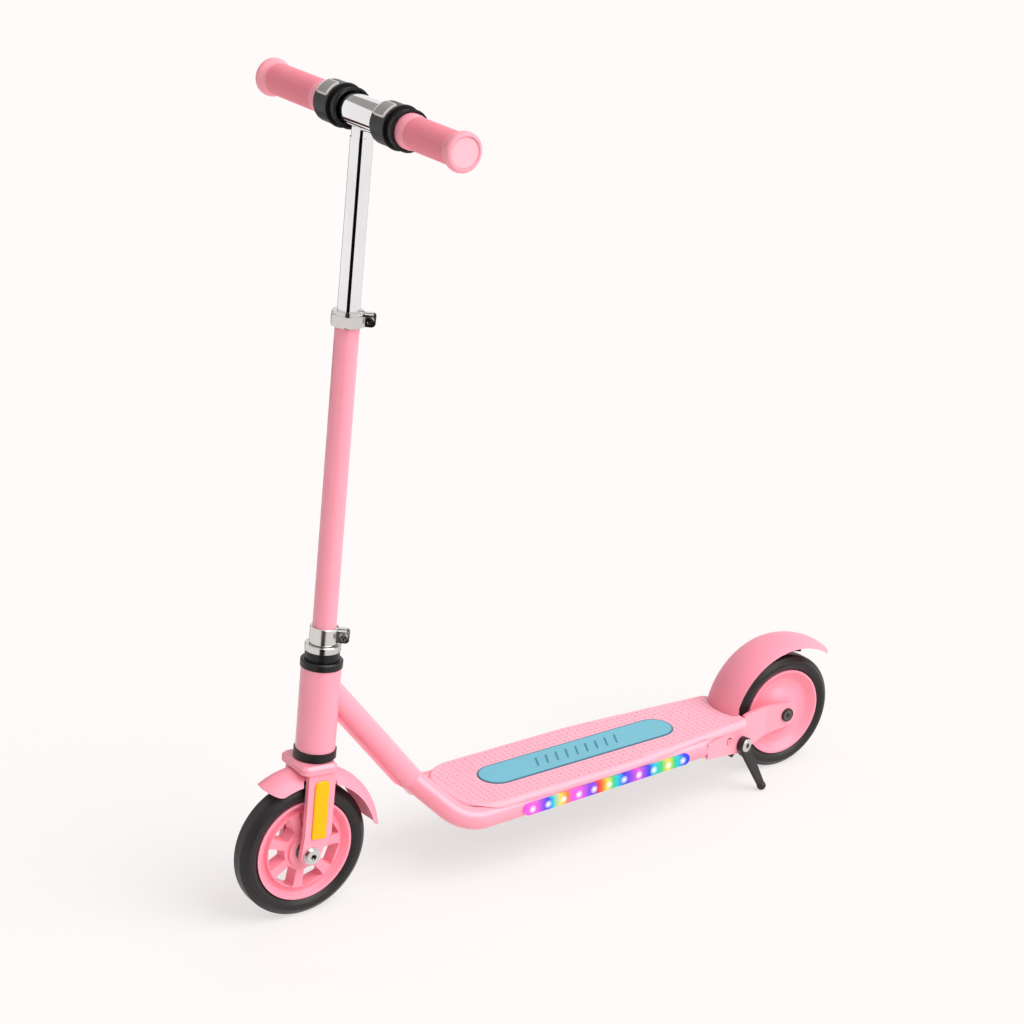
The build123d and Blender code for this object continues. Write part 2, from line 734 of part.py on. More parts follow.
def clamp_cuts(radius, low, high):
    """Slit of a clamp and the hole for its bolt."""
    bolt, middle = radius + EAR_REACH / 2, (low + high) / 2
    slit = Pos(bolt, 0, middle) * Box(2 * bolt, CLAMP_SLIT, high - low)
    hole = Pos(bolt, 0, middle) * bar_y(CLAMP_BOLT_RADIUS + FIT, -EAR_HALF, EAR_HALF)
    return Rot(0, 0, EAR_DIRECTION) * (slit + hole)


def clamp_bolt(radius, middle):
    """Clamp bolt across the ears, with a socket head on one side and a nut on the other."""
    seat = EAR_HALF + FIT
    body = bar_y(CLAMP_BOLT_RADIUS, -seat, seat)
    body += bar_y(CLAMP_BOLT_HEAD, -seat - CLAMP_BOLT_HEAD, -seat)
    body -= prism_y(hexagon(CLAMP_BOLT_HEAD), -seat - CLAMP_BOLT_HEAD, -seat - CLAMP_BOLT_RADIUS)
    body += prism_y(hexagon(2 * CLAMP_BOLT_HEAD), seat, seat + CLAMP_BOLT_HEAD)
    return Rot(0, 0, EAR_DIRECTION) * Pos(radius + EAR_REACH / 2, 0, middle) * body


def stem_clamp_middle():
    """Height of the stem clamp's bolt."""
    return STEM_BOTTOM + CLAMP_HEIGHT / 2


def height_clamp_middle():
    """Height of the height clamp's bolt."""
    return (HEIGHT_CLAMP_BOTTOM + HEIGHT_CLAMP_TOP) / 2


def stem_clamp():
    """Silver split clamp round the foot of the stem tube."""
    low, high = STEM_BOTTOM, STEM_BOTTOM + CLAMP_HEIGHT
    body = bar(CLAMP_RADIUS, low, high)
    body = fillet(body.edges(), CLAMP_ROUND) + clamp_ears(CLAMP_RADIUS, stem_clamp_middle())
    return body - bar(STEM_RADIUS + FIT, low, high) - clamp_cuts(CLAMP_RADIUS, low, high)


def height_clamp():
    """Silver split clamp with a hexagon head, gripping the stem's top and the sliding tube."""
    low, high = HEIGHT_CLAMP_BOTTOM, HEIGHT_CLAMP_TOP
    body = bar(HEIGHT_CLAMP_RADIUS, low, high)
    body += prism(hexagon(HEIGHT_CLAMP_ACROSS), low + CLAMP_ROUND, low + CLAMP_ROUND + HEX_HEIGHT)
    body += clamp_ears(HEIGHT_CLAMP_RADIUS, height_clamp_middle())
    body -= bar(BAR_TUBE_RADIUS + FIT, low, high) + bar(STEM_RADIUS + FIT, low, STEM_TOP + FIT)
    return body - clamp_cuts(HEIGHT_CLAMP_RADIUS, low, high)


def handlebar():
    """Chrome sliding tube with a short neck and the cross tube welded on top."""
    shoulder = BAR_HEIGHT - CROSS_RADIUS - NECK_LENGTH
    at_bar = Pos(0, 0, BAR_HEIGHT)
    body = bar(BAR_TUBE_RADIUS, BAR_TUBE_BOTTOM, shoulder) + bar(NECK_RADIUS, shoulder, BAR_HEIGHT)
    body += at_bar * bar_y(CROSS_RADIUS, CROSS_RIGHT, CROSS_LEFT)
    body -= bar(BAR_TUBE_BORE, BAR_TUBE_BOTTOM, BAR_HEIGHT - CROSS_RADIUS)
    return body - at_bar * bar_y(CROSS_BORE, CROSS_RIGHT, CROSS_LEFT)


def button_middle():
    """Middle of a release button along its collar."""
    return COLLAR_RING + COLLAR_BODY / 2


def button_block(grow):
    """Upright block of a release button, grown by a gap all round its sides."""
    width, length = BUTTON_WIDTH + 2 * grow, BUTTON_LENGTH + 2 * grow
    block = Box(width, length, 2 * (BUTTON_CROWN - BUTTON_FOOT), align=BACK)
    block = fillet(block.edges().filter_by(Axis.Z), BUTTON_ROUND + grow)
    return Pos(0, button_middle(), BUTTON_FOOT) * block


def collar():
    """Black collar, drawn from its right end: ring, body with the button's pocket, bead, barrel, open cup."""
    ring_end = COLLAR_RING
    body_end = ring_end + COLLAR_BODY
    bead_end = body_end + COLLAR_BEAD
    bore = CROSS_RADIUS + FIT
    points = [
        (0, bore),
        (0, COLLAR_RING_RADIUS),
        (ring_end, COLLAR_RING_RADIUS),
        (ring_end, COLLAR_BODY_RADIUS),
        (body_end, COLLAR_BODY_RADIUS),
        (body_end, COLLAR_BEAD_RADIUS),
        (bead_end, COLLAR_BEAD_RADIUS),
        (bead_end, COLLAR_BARREL_RADIUS),
        (COLLAR_CUP, COLLAR_BARREL_RADIUS),
        (COLLAR_END, CUP_LIP_RADIUS),
        (COLLAR_END, CUP_BORE + COLLAR_ROUND),
        (COLLAR_CUP + FIT, CUP_BORE),
        (COLLAR_CUP + FIT, bore),
    ]
    body = lathe(points, {corner: COLLAR_ROUND for corner in (1, 3, 5, 6)})
    pocket = Pos(0, 0, CROSS_RADIUS - BUTTON_FOOT) * button_block(MOVE_GAP / 2)
    pocket += Pos(0, 0, BUTTON_TRAVEL) * button_block(MOVE_GAP / 2)
    return body - Rot(0, BUTTON_TILT, 0) * pocket


def release_button():
    """Grey button in a collar, with a crowned top."""
    body = button_block(0) & bar_y(BUTTON_CROWN, 0, COLLAR_END)
    return Rot(0, BUTTON_TILT, 0) * body


def grip_end_seat():
    """Where the end disc's inner face lies along the bar."""
    return BAR_HALF - END_DISC_SUNK - END_DISC_THICK


def grip(seat):
    """Grip sleeve for the left: inner flange, barrel, flared end and a seat for the end disc."""
    bore = GRIP_TUBE_RADIUS + FIT
    flare = BAR_HALF - GRIP_END_LENGTH
    points = [
        (seat, bore),
        (seat, GRIP_FLANGE_RADIUS),
        (seat + GRIP_FLANGE, GRIP_FLANGE_RADIUS),
        (seat + GRIP_FLANGE, GRIP_RADIUS),
        (flare, GRIP_RADIUS),
        (flare + GRIP_FLANGE, GRIP_END_RADIUS),
        (BAR_HALF, GRIP_END_RADIUS),
        (BAR_HALF, END_DISC_RADIUS + FIT),
        (grip_end_seat(), END_DISC_RADIUS + FIT),
        (grip_end_seat(), bore),
    ]
    return lathe(points, {1: COLLAR_ROUND, 5: GRIP_FLANGE / 2, 6: GRIP_FLANGE})


def grip_tube(end):
    """Steel tube of a grip for the left, plugged into the cross tube's end."""
    return pipe_y(GRIP_TUBE_RADIUS, GRIP_TUBE_BORE, end - GRIP_TUBE_INSERT, grip_end_seat() - FIT)


def end_disc():
    """Pale disc that closes the left grip's end."""
    disc = bar_y(END_DISC_RADIUS, grip_end_seat() + FIT, BAR_HALF - END_DISC_SUNK)
    return fillet(disc.edges().group_by(Axis.Y)[-1], END_DISC_SUNK)


def head_point(height):
    """Point on the steering axis at a height along it, in the scooter's own frame."""
    return Vector(STEER_X - sin(LEAN) * height, 0, STEER_Z + cos(LEAN) * height)


def head_tube():
    """Head tube of the frame."""
    return STEERING * pipe(HEAD_RADIUS_TUBE, HEAD_BORE, HEAD_BOTTOM, HEAD_TOP)


def rail_spread(x):
    """Sideways place of the left rail's middle line at a place along the deck."""
    return RAIL_Y + RAIL_CORNER_OUT * (x - RAIL_END_X) / (RAIL_CORNER_X - RAIL_END_X)


def rail_path(end):
    """Middle line of the left rail, from across the nose, round the deck's corner and back."""
    nose = Vector(NOSE_X, 0, NOSE_Z)
    corner = Vector(RAIL_CORNER_X, rail_spread(RAIL_CORNER_X), RAIL_Z)
    start = nose - (corner - nose) / 2
    return FilletPolyline(start, corner, (end, rail_spread(end), RAIL_Z), radius=RAIL_BEND)


def rail_solid(radius, end):
    """Round bar along the left rail's middle line, back to a place along the deck."""
    path = rail_path(end)
    return sweep(Plane(origin=path @ 0, z_dir=path % 0) * Circle(radius), path=path)


def nose_solid(grow):
    """Solid bar along the down tube's middle line, with a ball at the nose, grown by a gap."""
    plane, length = down_tube_line()
    radius = DOWN_TUBE_RADIUS + grow
    return plane * (bar(radius, 0, length) + Pos(0, 0, length) * Sphere(radius))


def down_tube_line():
    """Plane at the down tube's top, looking along the tube with X towards the ground, and its length."""
    top = head_point(DOWN_TUBE_TOP)
    way = Vector(NOSE_X, 0, NOSE_Z) - top
    along = way.normalized()
    return Plane(origin=top, x_dir=Vector(-along.Z, 0, along.X), z_dir=along), way.length


def rail():
    """Left rail of the deck: bent tube, closed at the back, coped to the ball at the nose."""
    body = rail_solid(RAIL_RADIUS, RAIL_END_X)
    body -= rail_solid(RAIL_RADIUS - TUBE_WALL, RAIL_END_X + TUBE_WALL)
    beyond = Box(2 * NOSE_X, DECK_HALF, 2 * NOSE_Z, align=(Align.CENTER, Align.MAX, Align.CENTER))
    body = body - Pos(NOSE_X, 0, NOSE_Z) * beyond - nose_solid(FIT)
    return body.solids().sort_by(SortBy.VOLUME)[-1]


def down_tube():
    """Down tube with its strengthening strip, coped to the head tube, with a solid ball at the nose."""
    plane, length = down_tube_line()
    low = DOWN_TUBE_RADIUS + STRIP_PROUD
    strip = outline([(0, 0), (low, 0), (low, length - STRIP_TAPER), (DOWN_TUBE_RADIUS, length), (0, length)])
    body = nose_solid(0) + plane * prism_y(strip, -STRIP_THICK / 2, STRIP_THICK / 2)
    body -= plane * bar(DOWN_TUBE_RADIUS - TUBE_WALL, 0, length - NOSE_SOLID)
    body -= STEERING * bar(HEAD_RADIUS_TUBE + FIT, 0, 2 * HEAD_TOP)
    return body.solids().sort_by(SortBy.VOLUME)[-1]


def dropout():
    """Left dropout plate: bent inwards from the rail's end to the rear axle."""
    inset = PLATE_THICK / cos(PLATE_ANGLE)
    inner_y = PLATE_AXLE_Y - PLATE_THICK
    tail = -PLATE_END_RADIUS - PLATE_THICK
    front = RAIL_END_X - RAIL_RADIUS * sin(RAIL_LEAN) - SEAT_GAP
    inner_bend = PLATE_BEND_X + (inset - PLATE_THICK) / (sin(PLATE_ANGLE) / cos(PLATE_ANGLE))
    plan = [
        (front, plate_y(front)),
        (PLATE_BEND_X, PLATE_AXLE_Y),
        (tail, PLATE_AXLE_Y),
        (tail, inner_y),
        (inner_bend, inner_y),
        (front, plate_y(front) - inset),
    ]
    axle_z = REAR_TYRE_RADIUS
    side = [
        (front, PLATE_FRONT_BOTTOM),
        (front, PLATE_TOP),
        (DECK_REAR_X - SEAT_GAP, PLATE_TOP),
        (DECK_REAR_X - SEAT_GAP, PLATE_HUMP_TOP),
        (PLATE_HUMP_X, PLATE_HUMP_TOP),
        (0, axle_z + PLATE_END_RADIUS),
        (0, axle_z - PLATE_END_RADIUS),
        (STAND_X, STAND_Z - STAND_BOSS),
    ]
    strip = prism(outline(plan), 0, 2 * axle_z)
    profile = prism_y(outline(side), 0, RAIL_OUTER)
    profile += Pos(0, 0, axle_z) * bar_y(PLATE_END_RADIUS, 0, RAIL_OUTER)
    profile += Pos(STAND_X, 0, STAND_Z) * bar_y(STAND_BOSS, 0, RAIL_OUTER)
    plate = strip & profile
    return plate - Pos(0, 0, axle_z) * bar_y(AXLE_RADIUS + FIT, 0, RAIL_OUTER)


def left_dropout():
    """Left dropout plate with the holes for the kickstand's bolt and the light button."""
    deep = 2 * PLATE_THICK
    hole = plate_plane(STAND_X, STAND_Z) * bar(STAND_BOLT_RADIUS + FIT, -deep, deep)
    slot = plate_plane(LIGHT_BUTTON_X, LIGHT_BUTTON_Z) * light_button_block(MOVE_GAP / 2, -deep, deep)
    return dropout() - hole - slot


def deck_outline(inset):
    """Deck outline seen from above: round front corners and a tapered tail; inset moves its edge in."""
    half, tail = DECK_HALF - inset, DECK_REAR_HALF - inset
    front, rear = DECK_FRONT_X - inset, DECK_REAR_X + inset
    taper = DECK_TAPER_X
    points = [(front, -half), (front, half), (taper, half), (rear, tail), (rear, -tail), (taper, -half)]
    sweep_in, blunt = DECK_TAPER_ROUND, DECK_TAIL_ROUND - inset
    return outline(points, {0: DECK_CORNER, 1: DECK_CORNER, 2: sweep_in, 3: blunt, 4: blunt, 5: sweep_in})


def stadium(length, width):
    """Flat shape with two round ends, lying along X."""
    return SlotOverall(length, width)


def deck_tray():
    """Moulded deck: top plate with a skirt that sits on the rails, cross ribs, pad recess and brake notch."""
    body = prism(deck_outline(0), DECK_EDGE_BOTTOM, DECK_TOP)
    body = fillet(body.faces().sort_by(Axis.Z)[-1].edges(), DECK_EDGE_ROUND)
    body -= prism(deck_outline(DECK_WALL), DECK_EDGE_BOTTOM, DECK_TOP - DECK_PLATE)
    ribs = int((DECK_FRONT_X - RAIL_END_X) / DECK_RIB_PITCH)
    half = RAIL_Y - RAIL_RADIUS - SEAT_GAP
    height = DECK_TOP - DECK_PLATE - DECK_RIB_BOTTOM
    for rib in range(ribs):
        x = RAIL_END_X + rib * DECK_RIB_PITCH + DECK_RIB_PITCH / 2
        body += Pos(x, 0, DECK_RIB_BOTTOM) * Box(DECK_RIB, 2 * half, height, align=BACK)
    middle = (PAD_REAR_X + PAD_FRONT_X) / 2
    recess = stadium(PAD_FRONT_X - PAD_REAR_X + 2 * PAD_GAP, PAD_WIDTH + 2 * PAD_GAP)
    body -= Pos(middle, 0, 0) * prism(recess, DECK_TOP - PAD_SUNK, 2 * DECK_TOP)
    arm = rail_solid(RAIL_RADIUS + DECK_GAP, RAIL_END_X - DECK_GAP)
    body = body - arm - mirrored(arm)
    lug_front = BRAKE_PIN_X + LUG_RADIUS + MOVE_GAP
    notch = sqrt(lug_front**2 + (DECK_TOP - REAR_TYRE_RADIUS) ** 2)
    side = ear_place() + EAR_THICK + BRAKE_NOTCH
    body -= REAR_HUB * bar_y(notch, -side, side)
    return body.solids().sort_by(SortBy.VOLUME)[-1]


def deck_pad():
    """Blue pad in the deck's recess, with slanted ribs across its middle."""
    top = PAD_SUNK + PAD_PROUD - FIT
    body = extrude(stadium(PAD_FRONT_X - PAD_REAR_X, PAD_WIDTH), amount=top)
    body = fillet(body.edges().group_by(Axis.Z)[-1], PAD_PROUD / 2)
    bead = extrude(stadium(PAD_RIB_LENGTH, PAD_RIB_WIDTH), amount=PAD_RIB_HEIGHT)
    bead = Rot(0, 0, 90 - PAD_RIB_SLANT) * bead
    for rib in range(PAD_RIBS):
        x = (rib - (PAD_RIBS - 1) / 2) * PAD_RIB_PITCH
        body += Pos(x, 0, top) * bead
    return Pos((PAD_REAR_X + PAD_FRONT_X) / 2, 0, DECK_TOP - PAD_SUNK + FIT) * body


def door_block(grow, low, high):
    """Block of the battery door's outline between two heights."""
    block = Box(DOOR_LENGTH + 2 * grow, DOOR_WIDTH + 2 * grow, high - low, align=BACK)
    return Pos(DOOR_X, 0, low) * fillet(block.edges().filter_by(Axis.Z), DECK_ROUND + grow)


def screw_places():
    """Places of the battery door's screws."""
    x, y = DOOR_LENGTH / 2 - SCREW_INSET, DOOR_WIDTH / 2 - SCREW_INSET
    return [(DOOR_X + sx * x, sy * y) for sx in (1, -1) for sy in (1, -1)]


def cell_height():
    """Height of the battery cells' middle lines: they lie on the battery door."""
    return PAN_BOTTOM + PAN_WALL + CELL_RADIUS


def cell_rows():
    """Places of the cells across the scooter."""
    return [(row - (CELL_COUNT - 1) / 2) * CELL_PITCH for row in range(CELL_COUNT)]


def battery_box(low, top):
    """Walls round the cells, and a roof that is hollowed to hold them from above."""
    width = DOOR_WIDTH
    walls = Box(DOOR_LENGTH, width, top - low, align=BACK)
    walls -= Box(DOOR_LENGTH - 2 * PAN_WALL, width - 2 * PAN_WALL, top - low, align=BACK)
    roof_low = cell_height() + CELL_RADIUS / 2
    roof = Pos(0, 0, roof_low - low) * Box(CELL_LENGTH, width, top - roof_low, align=BACK)
    body = Pos(DOOR_X, 0, low) * (walls + roof)
    for y in cell_rows():
        groove = Rot(0, 90, 0) * bar(CELL_RADIUS + SEAT_GAP, -CELL_LENGTH, CELL_LENGTH)
        body -= Pos(DOOR_X, y, cell_height()) * (groove & Box(CELL_LENGTH, 3 * CELL_RADIUS, 3 * CELL_RADIUS))
    return body


def pan_outline(inset):
    """Under cover seen from above: it widens forward with the rails; inset moves its edge in."""
    rear, front = PAN_REAR_X + inset, PAN_FRONT_X - inset
    rear_half = rail_spread(rear) - RAIL_RADIUS - PAN_GAP - inset
    front_half = rail_spread(front) - RAIL_RADIUS - PAN_GAP - inset
    return outline([(rear, -rear_half), (front, -front_half), (front, front_half), (rear, rear_half)])


def under_cover():
    """Pan under the deck, between the rails, with the battery door's opening."""
    top = DECK_RIB_BOTTOM - SEAT_GAP
    shell = prism(pan_outline(0), PAN_BOTTOM, top)
    shell = fillet(shell.edges().filter_by(Axis.Z), DECK_ROUND * 2)
    shell = fillet(shell.edges().group_by(Axis.Z)[0], DECK_ROUND)
    body = shell - prism(pan_outline(PAN_WALL), PAN_BOTTOM + PAN_WALL, top)
    body -= door_block(PLAY, PAN_BOTTOM, PAN_BOTTOM + PAN_WALL)
    frame = door_block(PAN_WALL, PAN_BOTTOM + PAN_WALL, PAN_BOTTOM + 2 * PAN_WALL)
    frame -= door_block(-PAN_WALL, PAN_BOTTOM + PAN_WALL, PAN_BOTTOM + 2 * PAN_WALL)
    body += frame + battery_box(PAN_BOTTOM + PAN_WALL, top)
    for x, y in screw_places():
        body += Pos(x, y, 0) * bar(BOSS_RADIUS, PAN_BOTTOM + PAN_WALL, PAN_BOTTOM + SCREW_LENGTH)
        body -= Pos(x, y, 0) * bar(SCREW_RADIUS + FIT, PAN_BOTTOM, PAN_BOTTOM + SCREW_LENGTH)
    return body


def battery_door():
    """Battery door, flush with the under cover, with sunk seats for its screws."""
    body = door_block(0, PAN_BOTTOM, PAN_BOTTOM + PAN_WALL - FIT)
    for x, y in screw_places():
        body -= Pos(x, y, 0) * bar(SCREW_RADIUS + FIT, PAN_BOTTOM, PAN_BOTTOM + PAN_WALL)
        body -= Pos(x, y, 0) * bar(SCREW_HEAD_RADIUS + FIT, PAN_BOTTOM, PAN_BOTTOM + SCREW_HEAD)
    return body


def door_screws():
    """Screws of the battery door, with cross-slotted heads."""
    low = PAN_BOTTOM + FIT
    screw = bar(SCREW_HEAD_RADIUS, low, PAN_BOTTOM + SCREW_HEAD - FIT)
    screw += bar(SCREW_RADIUS, low, PAN_BOTTOM + SCREW_LENGTH - FIT)
    slot = Box(SCREW_RADIUS * 2, SCREW_RADIUS / 2, SCREW_HEAD)
    screw -= Pos(0, 0, low) * (slot + Rot(0, 0, 90) * slot)
    return Compound([Pos(x, y, 0) * screw for x, y in screw_places()])


def battery_cells():
    """Round cells with their small positive ends, side by side."""
    cell = bar(CELL_RADIUS, 0, CELL_LENGTH) + bar(SCREW_HEAD_RADIUS, CELL_LENGTH, CELL_LENGTH + SCREW_HEAD)
    lying = Pos(DOOR_X - (CELL_LENGTH + SCREW_HEAD) / 2, 0, cell_height()) * Rot(0, 90, 0) * cell
    return Compound([Pos(0, y, 0) * lying for y in cell_rows()])


def lens_block(shrink, near, far):
    """Bar with round ends in the outline of the left light strip, drawn from the rail's middle line out."""
    length = LENS_FRONT_X - LENS_REAR_X - 2 * shrink
    return prism_y(stadium(length, LENS_HEIGHT - 2 * shrink), near, far)


def on_rail(shape):
    """A light strip drawn about its own middle, placed beside both rails and in line with them."""
    middle = (LENS_FRONT_X + LENS_REAR_X) / 2
    left = Pos(middle, rail_spread(middle), RAIL_Z + LENS_RISE) * Rot(0, 0, degrees(RAIL_LEAN)) * shape
    return Compound([left, mirrored(left)])


def light_lenses():
    """Clear covers of the light strips, hollow towards the rails."""
    back = RAIL_RADIUS + LENS_SEAT
    body = lens_block(0, back, back + LENS_DEPTH)
    body = fillet(body.faces().sort_by(Axis.Y)[-1].edges(), LENS_WALL)
    return on_rail(body - lens_block(LENS_WALL, back, back + LENS_DEPTH - LENS_WALL))


def light_boards():
    """Circuit strips with their rows of lights, inside the clear covers."""
    back = RAIL_RADIUS + LENS_SEAT + FIT
    body = lens_block(LENS_WALL + PLAY, back, back + BOARD_THICK)
    reach = LENS_FRONT_X - LENS_REAR_X - LENS_HEIGHT
    for light in range(LIGHT_COUNT):
        x = reach * (light / (LIGHT_COUNT - 1) - 0.5)
        chip = Box(LIGHT_SIZE, LIGHT_HEIGHT, LIGHT_SIZE, align=(Align.CENTER, Align.MIN, Align.CENTER))
        body += Pos(x, back + BOARD_THICK, 0) * chip
    return on_rail(body)


def rear_axle():
    """Rear axle through both dropout plates."""
    half = PLATE_AXLE_Y + CAP_LENGTH - FLANGE_THICK
    return bar_y(AXLE_RADIUS, -half, half)


def axle_caps():
    """Dark caps on both ends of the rear axle, each with a sunk ring."""
    seat = PLATE_AXLE_Y + FIT
    end = seat + CAP_LENGTH
    cap = bar_y(CAP_RADIUS, seat, end)
    cap = fillet(cap.edges().group_by(Axis.Y)[-1], CUP_BEVEL)
    cap -= pipe_y(CAP_RADIUS - 2 * CUP_BEVEL, CAP_RADIUS / 3, end - SHIELD_DEPTH, end)
    cap -= bar_y(AXLE_RADIUS + FIT, seat, end - FLANGE_THICK + FIT)
    return Compound([cap, mirrored(cap)])


def ear_place():
    """Inner face of a hinge ear on the rear bridge."""
    return LUG_INNER + LUG_THICK + EAR_GAP


def rear_bridge():
    """Plate across the dropout plates, with two ears for the brake's hinge pin."""
    reach = plate_y(BRIDGE_X) - PLATE_THICK / cos(PLATE_ANGLE) - SEAT_GAP
    height = PLATE_TOP - BRIDGE_BOTTOM
    ahead = (Align.MIN, Align.CENTER, Align.MIN)
    body = Pos(BRIDGE_X, 0, BRIDGE_BOTTOM) * Box(BRIDGE_THICK, 2 * reach, height, align=ahead)
    near, far = ear_place(), ear_place() + EAR_THICK
    points = [
        (BRAKE_PIN_X, BRAKE_PIN_Z - LUG_RADIUS),
        (BRIDGE_X, BRAKE_PIN_Z - LUG_RADIUS),
        (BRIDGE_X, PLATE_TOP),
        (BRAKE_PIN_X, BRAKE_PIN_Z + LUG_RADIUS),
    ]
    pin = Pos(BRAKE_PIN_X, 0, BRAKE_PIN_Z)
    ear = prism_y(outline(points), near, far) + pin * bar_y(LUG_RADIUS, near, far)
    ear -= pin * bar_y(BRAKE_PIN_RADIUS + FIT, near, far)
    return body + ear + mirrored(ear)


def brake_pin():
    """Hinge pin of the rear brake, with a head at each end."""
    half = ear_place() + EAR_THICK + PLAY
    body = bar_y(BRAKE_PIN_RADIUS, -half - FLANGE_THICK, half + FLANGE_THICK)
    for side in (1, -1):
        head = bar_y(BRAKE_PIN_RADIUS + FLANGE_THICK, half, half + FLANGE_THICK)
        body += head if side == 1 else mirrored(head)
    return Pos(BRAKE_PIN_X, 0, BRAKE_PIN_Z) * body


def polar(radius, angle):
    """Point about the rear axle, with the angle counted in degrees from forward over the top."""
    return (radius * cos(radians(angle)), REAR_TYRE_RADIUS + radius * sin(radians(angle)))


def brake_fender():
    """Rear fender that is stepped on to brake: arched band with a round tail and two hinge lugs."""
    tail = 90 + degrees(asin(TAIL_REACH / BRAKE_RADIUS)) + BRAKE_TAIL_EXTRA
    band = arched_band(BRAKE_RADIUS, BRAKE_DROP, BRAKE_THICK, BRAKE_HALF, BRAKE_BASE_ANGLE, tail)
    plan = [
        (-TAIL_REACH, -BRAKE_HALF),
        (2 * BRAKE_RADIUS, -BRAKE_HALF),
        (2 * BRAKE_RADIUS, BRAKE_HALF),
        (-TAIL_REACH, BRAKE_HALF),
    ]
    rounds = {0: BRAKE_TAIL_ROUND, 3: BRAKE_TAIL_ROUND}
    band = REAR_HUB * band & prism(outline(plan, rounds), DECK_TOP + BRAKE_BASE_GAP, 3 * BRAKE_RADIUS)
    near, far = LUG_INNER, LUG_INNER + LUG_THICK
    root = BRAKE_RADIUS - BRAKE_DROP * (far / BRAKE_HALF) ** 2 - LUG_BITE
    front = BRAKE_PIN_X + LUG_RADIUS
    rise = degrees(atan2(sqrt(root**2 - front**2), front))
    points = [
        (BRAKE_PIN_X - LUG_RADIUS, BRAKE_PIN_Z),
        (front, BRAKE_PIN_Z),
        polar(root, rise),
        polar(root, rise + LUG_SPREAD / 2),
        polar(root, rise + LUG_SPREAD),
    ]
    pin = Pos(BRAKE_PIN_X, 0, BRAKE_PIN_Z)
    lug = prism_y(outline(points), near, far) + pin * bar_y(LUG_RADIUS, near, far)
    lug -= pin * bar_y(BRAKE_PIN_RADIUS + FIT, near, far)
    return band + lug + mirrored(lug)


def brake_block():
    """Rubber block under the fender that rubs on the tyre."""
    inner = REAR_TYRE_RADIUS + BLOCK_GAP
    drop = (BRAKE_DROP - BRAKE_THICK) * (BLOCK_HALF / (BRAKE_HALF - BRAKE_THICK)) ** 2
    outer = BRAKE_RADIUS - BRAKE_THICK - drop - SEAT_GAP
    section = Pos(0, (inner + outer) / 2) * Rectangle(2 * BLOCK_HALF, outer - inner)
    block = revolve(Plane.YZ * section, Axis.Y, BLOCK_END - BLOCK_START)
    return REAR_HUB * Rot(0, 90 - BLOCK_END, 0) * block


def biarc(start, start_way, end, end_way):
    """Two arcs that join one point and direction smoothly to another."""
    chord = end - start
    ways = start_way + end_way
    a, b, c = ways.dot(ways) - 4, chord.dot(ways), chord.dot(chord)
    reach = (b - sqrt(b * b - a * c)) / a
    middle = (start + start_way * reach + end - end_way * reach) / 2
    first = TangentArc(start, middle, tangent=start_way)
    return [first, TangentArc(middle, end, tangent=first % 1)]


def brake_spring():
    """Torsion spring round the brake's hinge pin: one wire wound as a helix, with a leg at each end."""
    steps = 4 * SPRING_TURNS
    rise = SPRING_PITCH / (2 * pi)
    points, ways = [], []
    for step in range(steps + 1):
        turn = step * pi / 2
        y = (step / 4 - SPRING_TURNS / 2) * SPRING_PITCH
        points.append(Vector(SPRING_RADIUS * cos(turn), y, SPRING_RADIUS * sin(turn)))
        ways.append(Vector(-SPRING_RADIUS * sin(turn), rise, SPRING_RADIUS * cos(turn)).normalized())
    leg = 2 * SPRING_WIRE
    edges = [Line(points[0] - ways[0] * leg, points[0])]
    for step in range(steps):
        edges += biarc(points[step], ways[step], points[step + 1], ways[step + 1])
    edges.append(Line(points[-1], points[-1] + ways[-1] * leg))
    path = Wire(edges)
    wire = sweep(Plane(origin=path @ 0, z_dir=path % 0) * Circle(SPRING_WIRE), path=path)
    print("brake spring: least gap between turns", round(SPRING_PITCH - 2 * SPRING_WIRE, 2), "mm")
    return Pos(BRAKE_PIN_X, 0, BRAKE_PIN_Z) * wire


def stand_bracket():
    """Black wedge bracket of the kickstand, behind the left dropout plate and showing below it."""
    points = [
        (BRACKET_REACH, BRACKET_TIP_DROP),
        (BRACKET_HEEL, BRACKET_HEEL_DROP),
        (0, STAND_HUB_RADIUS),
        (0, -STAND_HUB_RADIUS),
    ]
    high = -PLATE_THICK - FIT
    low = high - BRACKET_THICK
    body = prism(outline(points), low, high) + bar(STAND_HUB_RADIUS, low, high)
    return plate_plane(STAND_X, STAND_Z) * (body - bar(STAND_BOLT_RADIUS + FIT, low, high))


def stand_leg():
    """Kickstand leg: round hub and a tapered, splayed leg with a round toe."""
    low = MOVE_GAP
    high = low + STAND_HUB_THICK
    back = (STAND_FOOT_X - STAND_X) / cos(PLATE_ANGLE)
    middle = low + STAND_LEG_DEPTH / 2
    top = Vector(0, 0, middle)
    toe = Vector(back, STAND_Z - STAND_FOOT_CLEAR - STAND_TOE, middle + STAND_SPLAY)
    way = (toe - top).normalized()
    upper = Plane(origin=top, x_dir=(1, 0, 0), z_dir=way) * Rectangle(2 * STAND_LEG_HALF, STAND_LEG_DEPTH)
    lower = Plane(origin=toe, x_dir=(1, 0, 0), z_dir=way) * Rectangle(2 * STAND_TOE_HALF, STAND_LEG_DEPTH)
    leg = loft([upper.face(), lower.face()]) + bar(STAND_HUB_RADIUS, low, high)
    leg += Pos(*toe) * Sphere(STAND_TOE)
    clear = STAND_BOLT_HEAD + MOVE_GAP
    leg -= bar(STAND_BOLT_RADIUS + FIT, -STAND_Z, STAND_Z) + bar(clear, high, STAND_Z)
    leg -= bar(2 * STAND_Z, low - STAND_Z, low)
    return plate_plane(STAND_X, STAND_Z) * leg


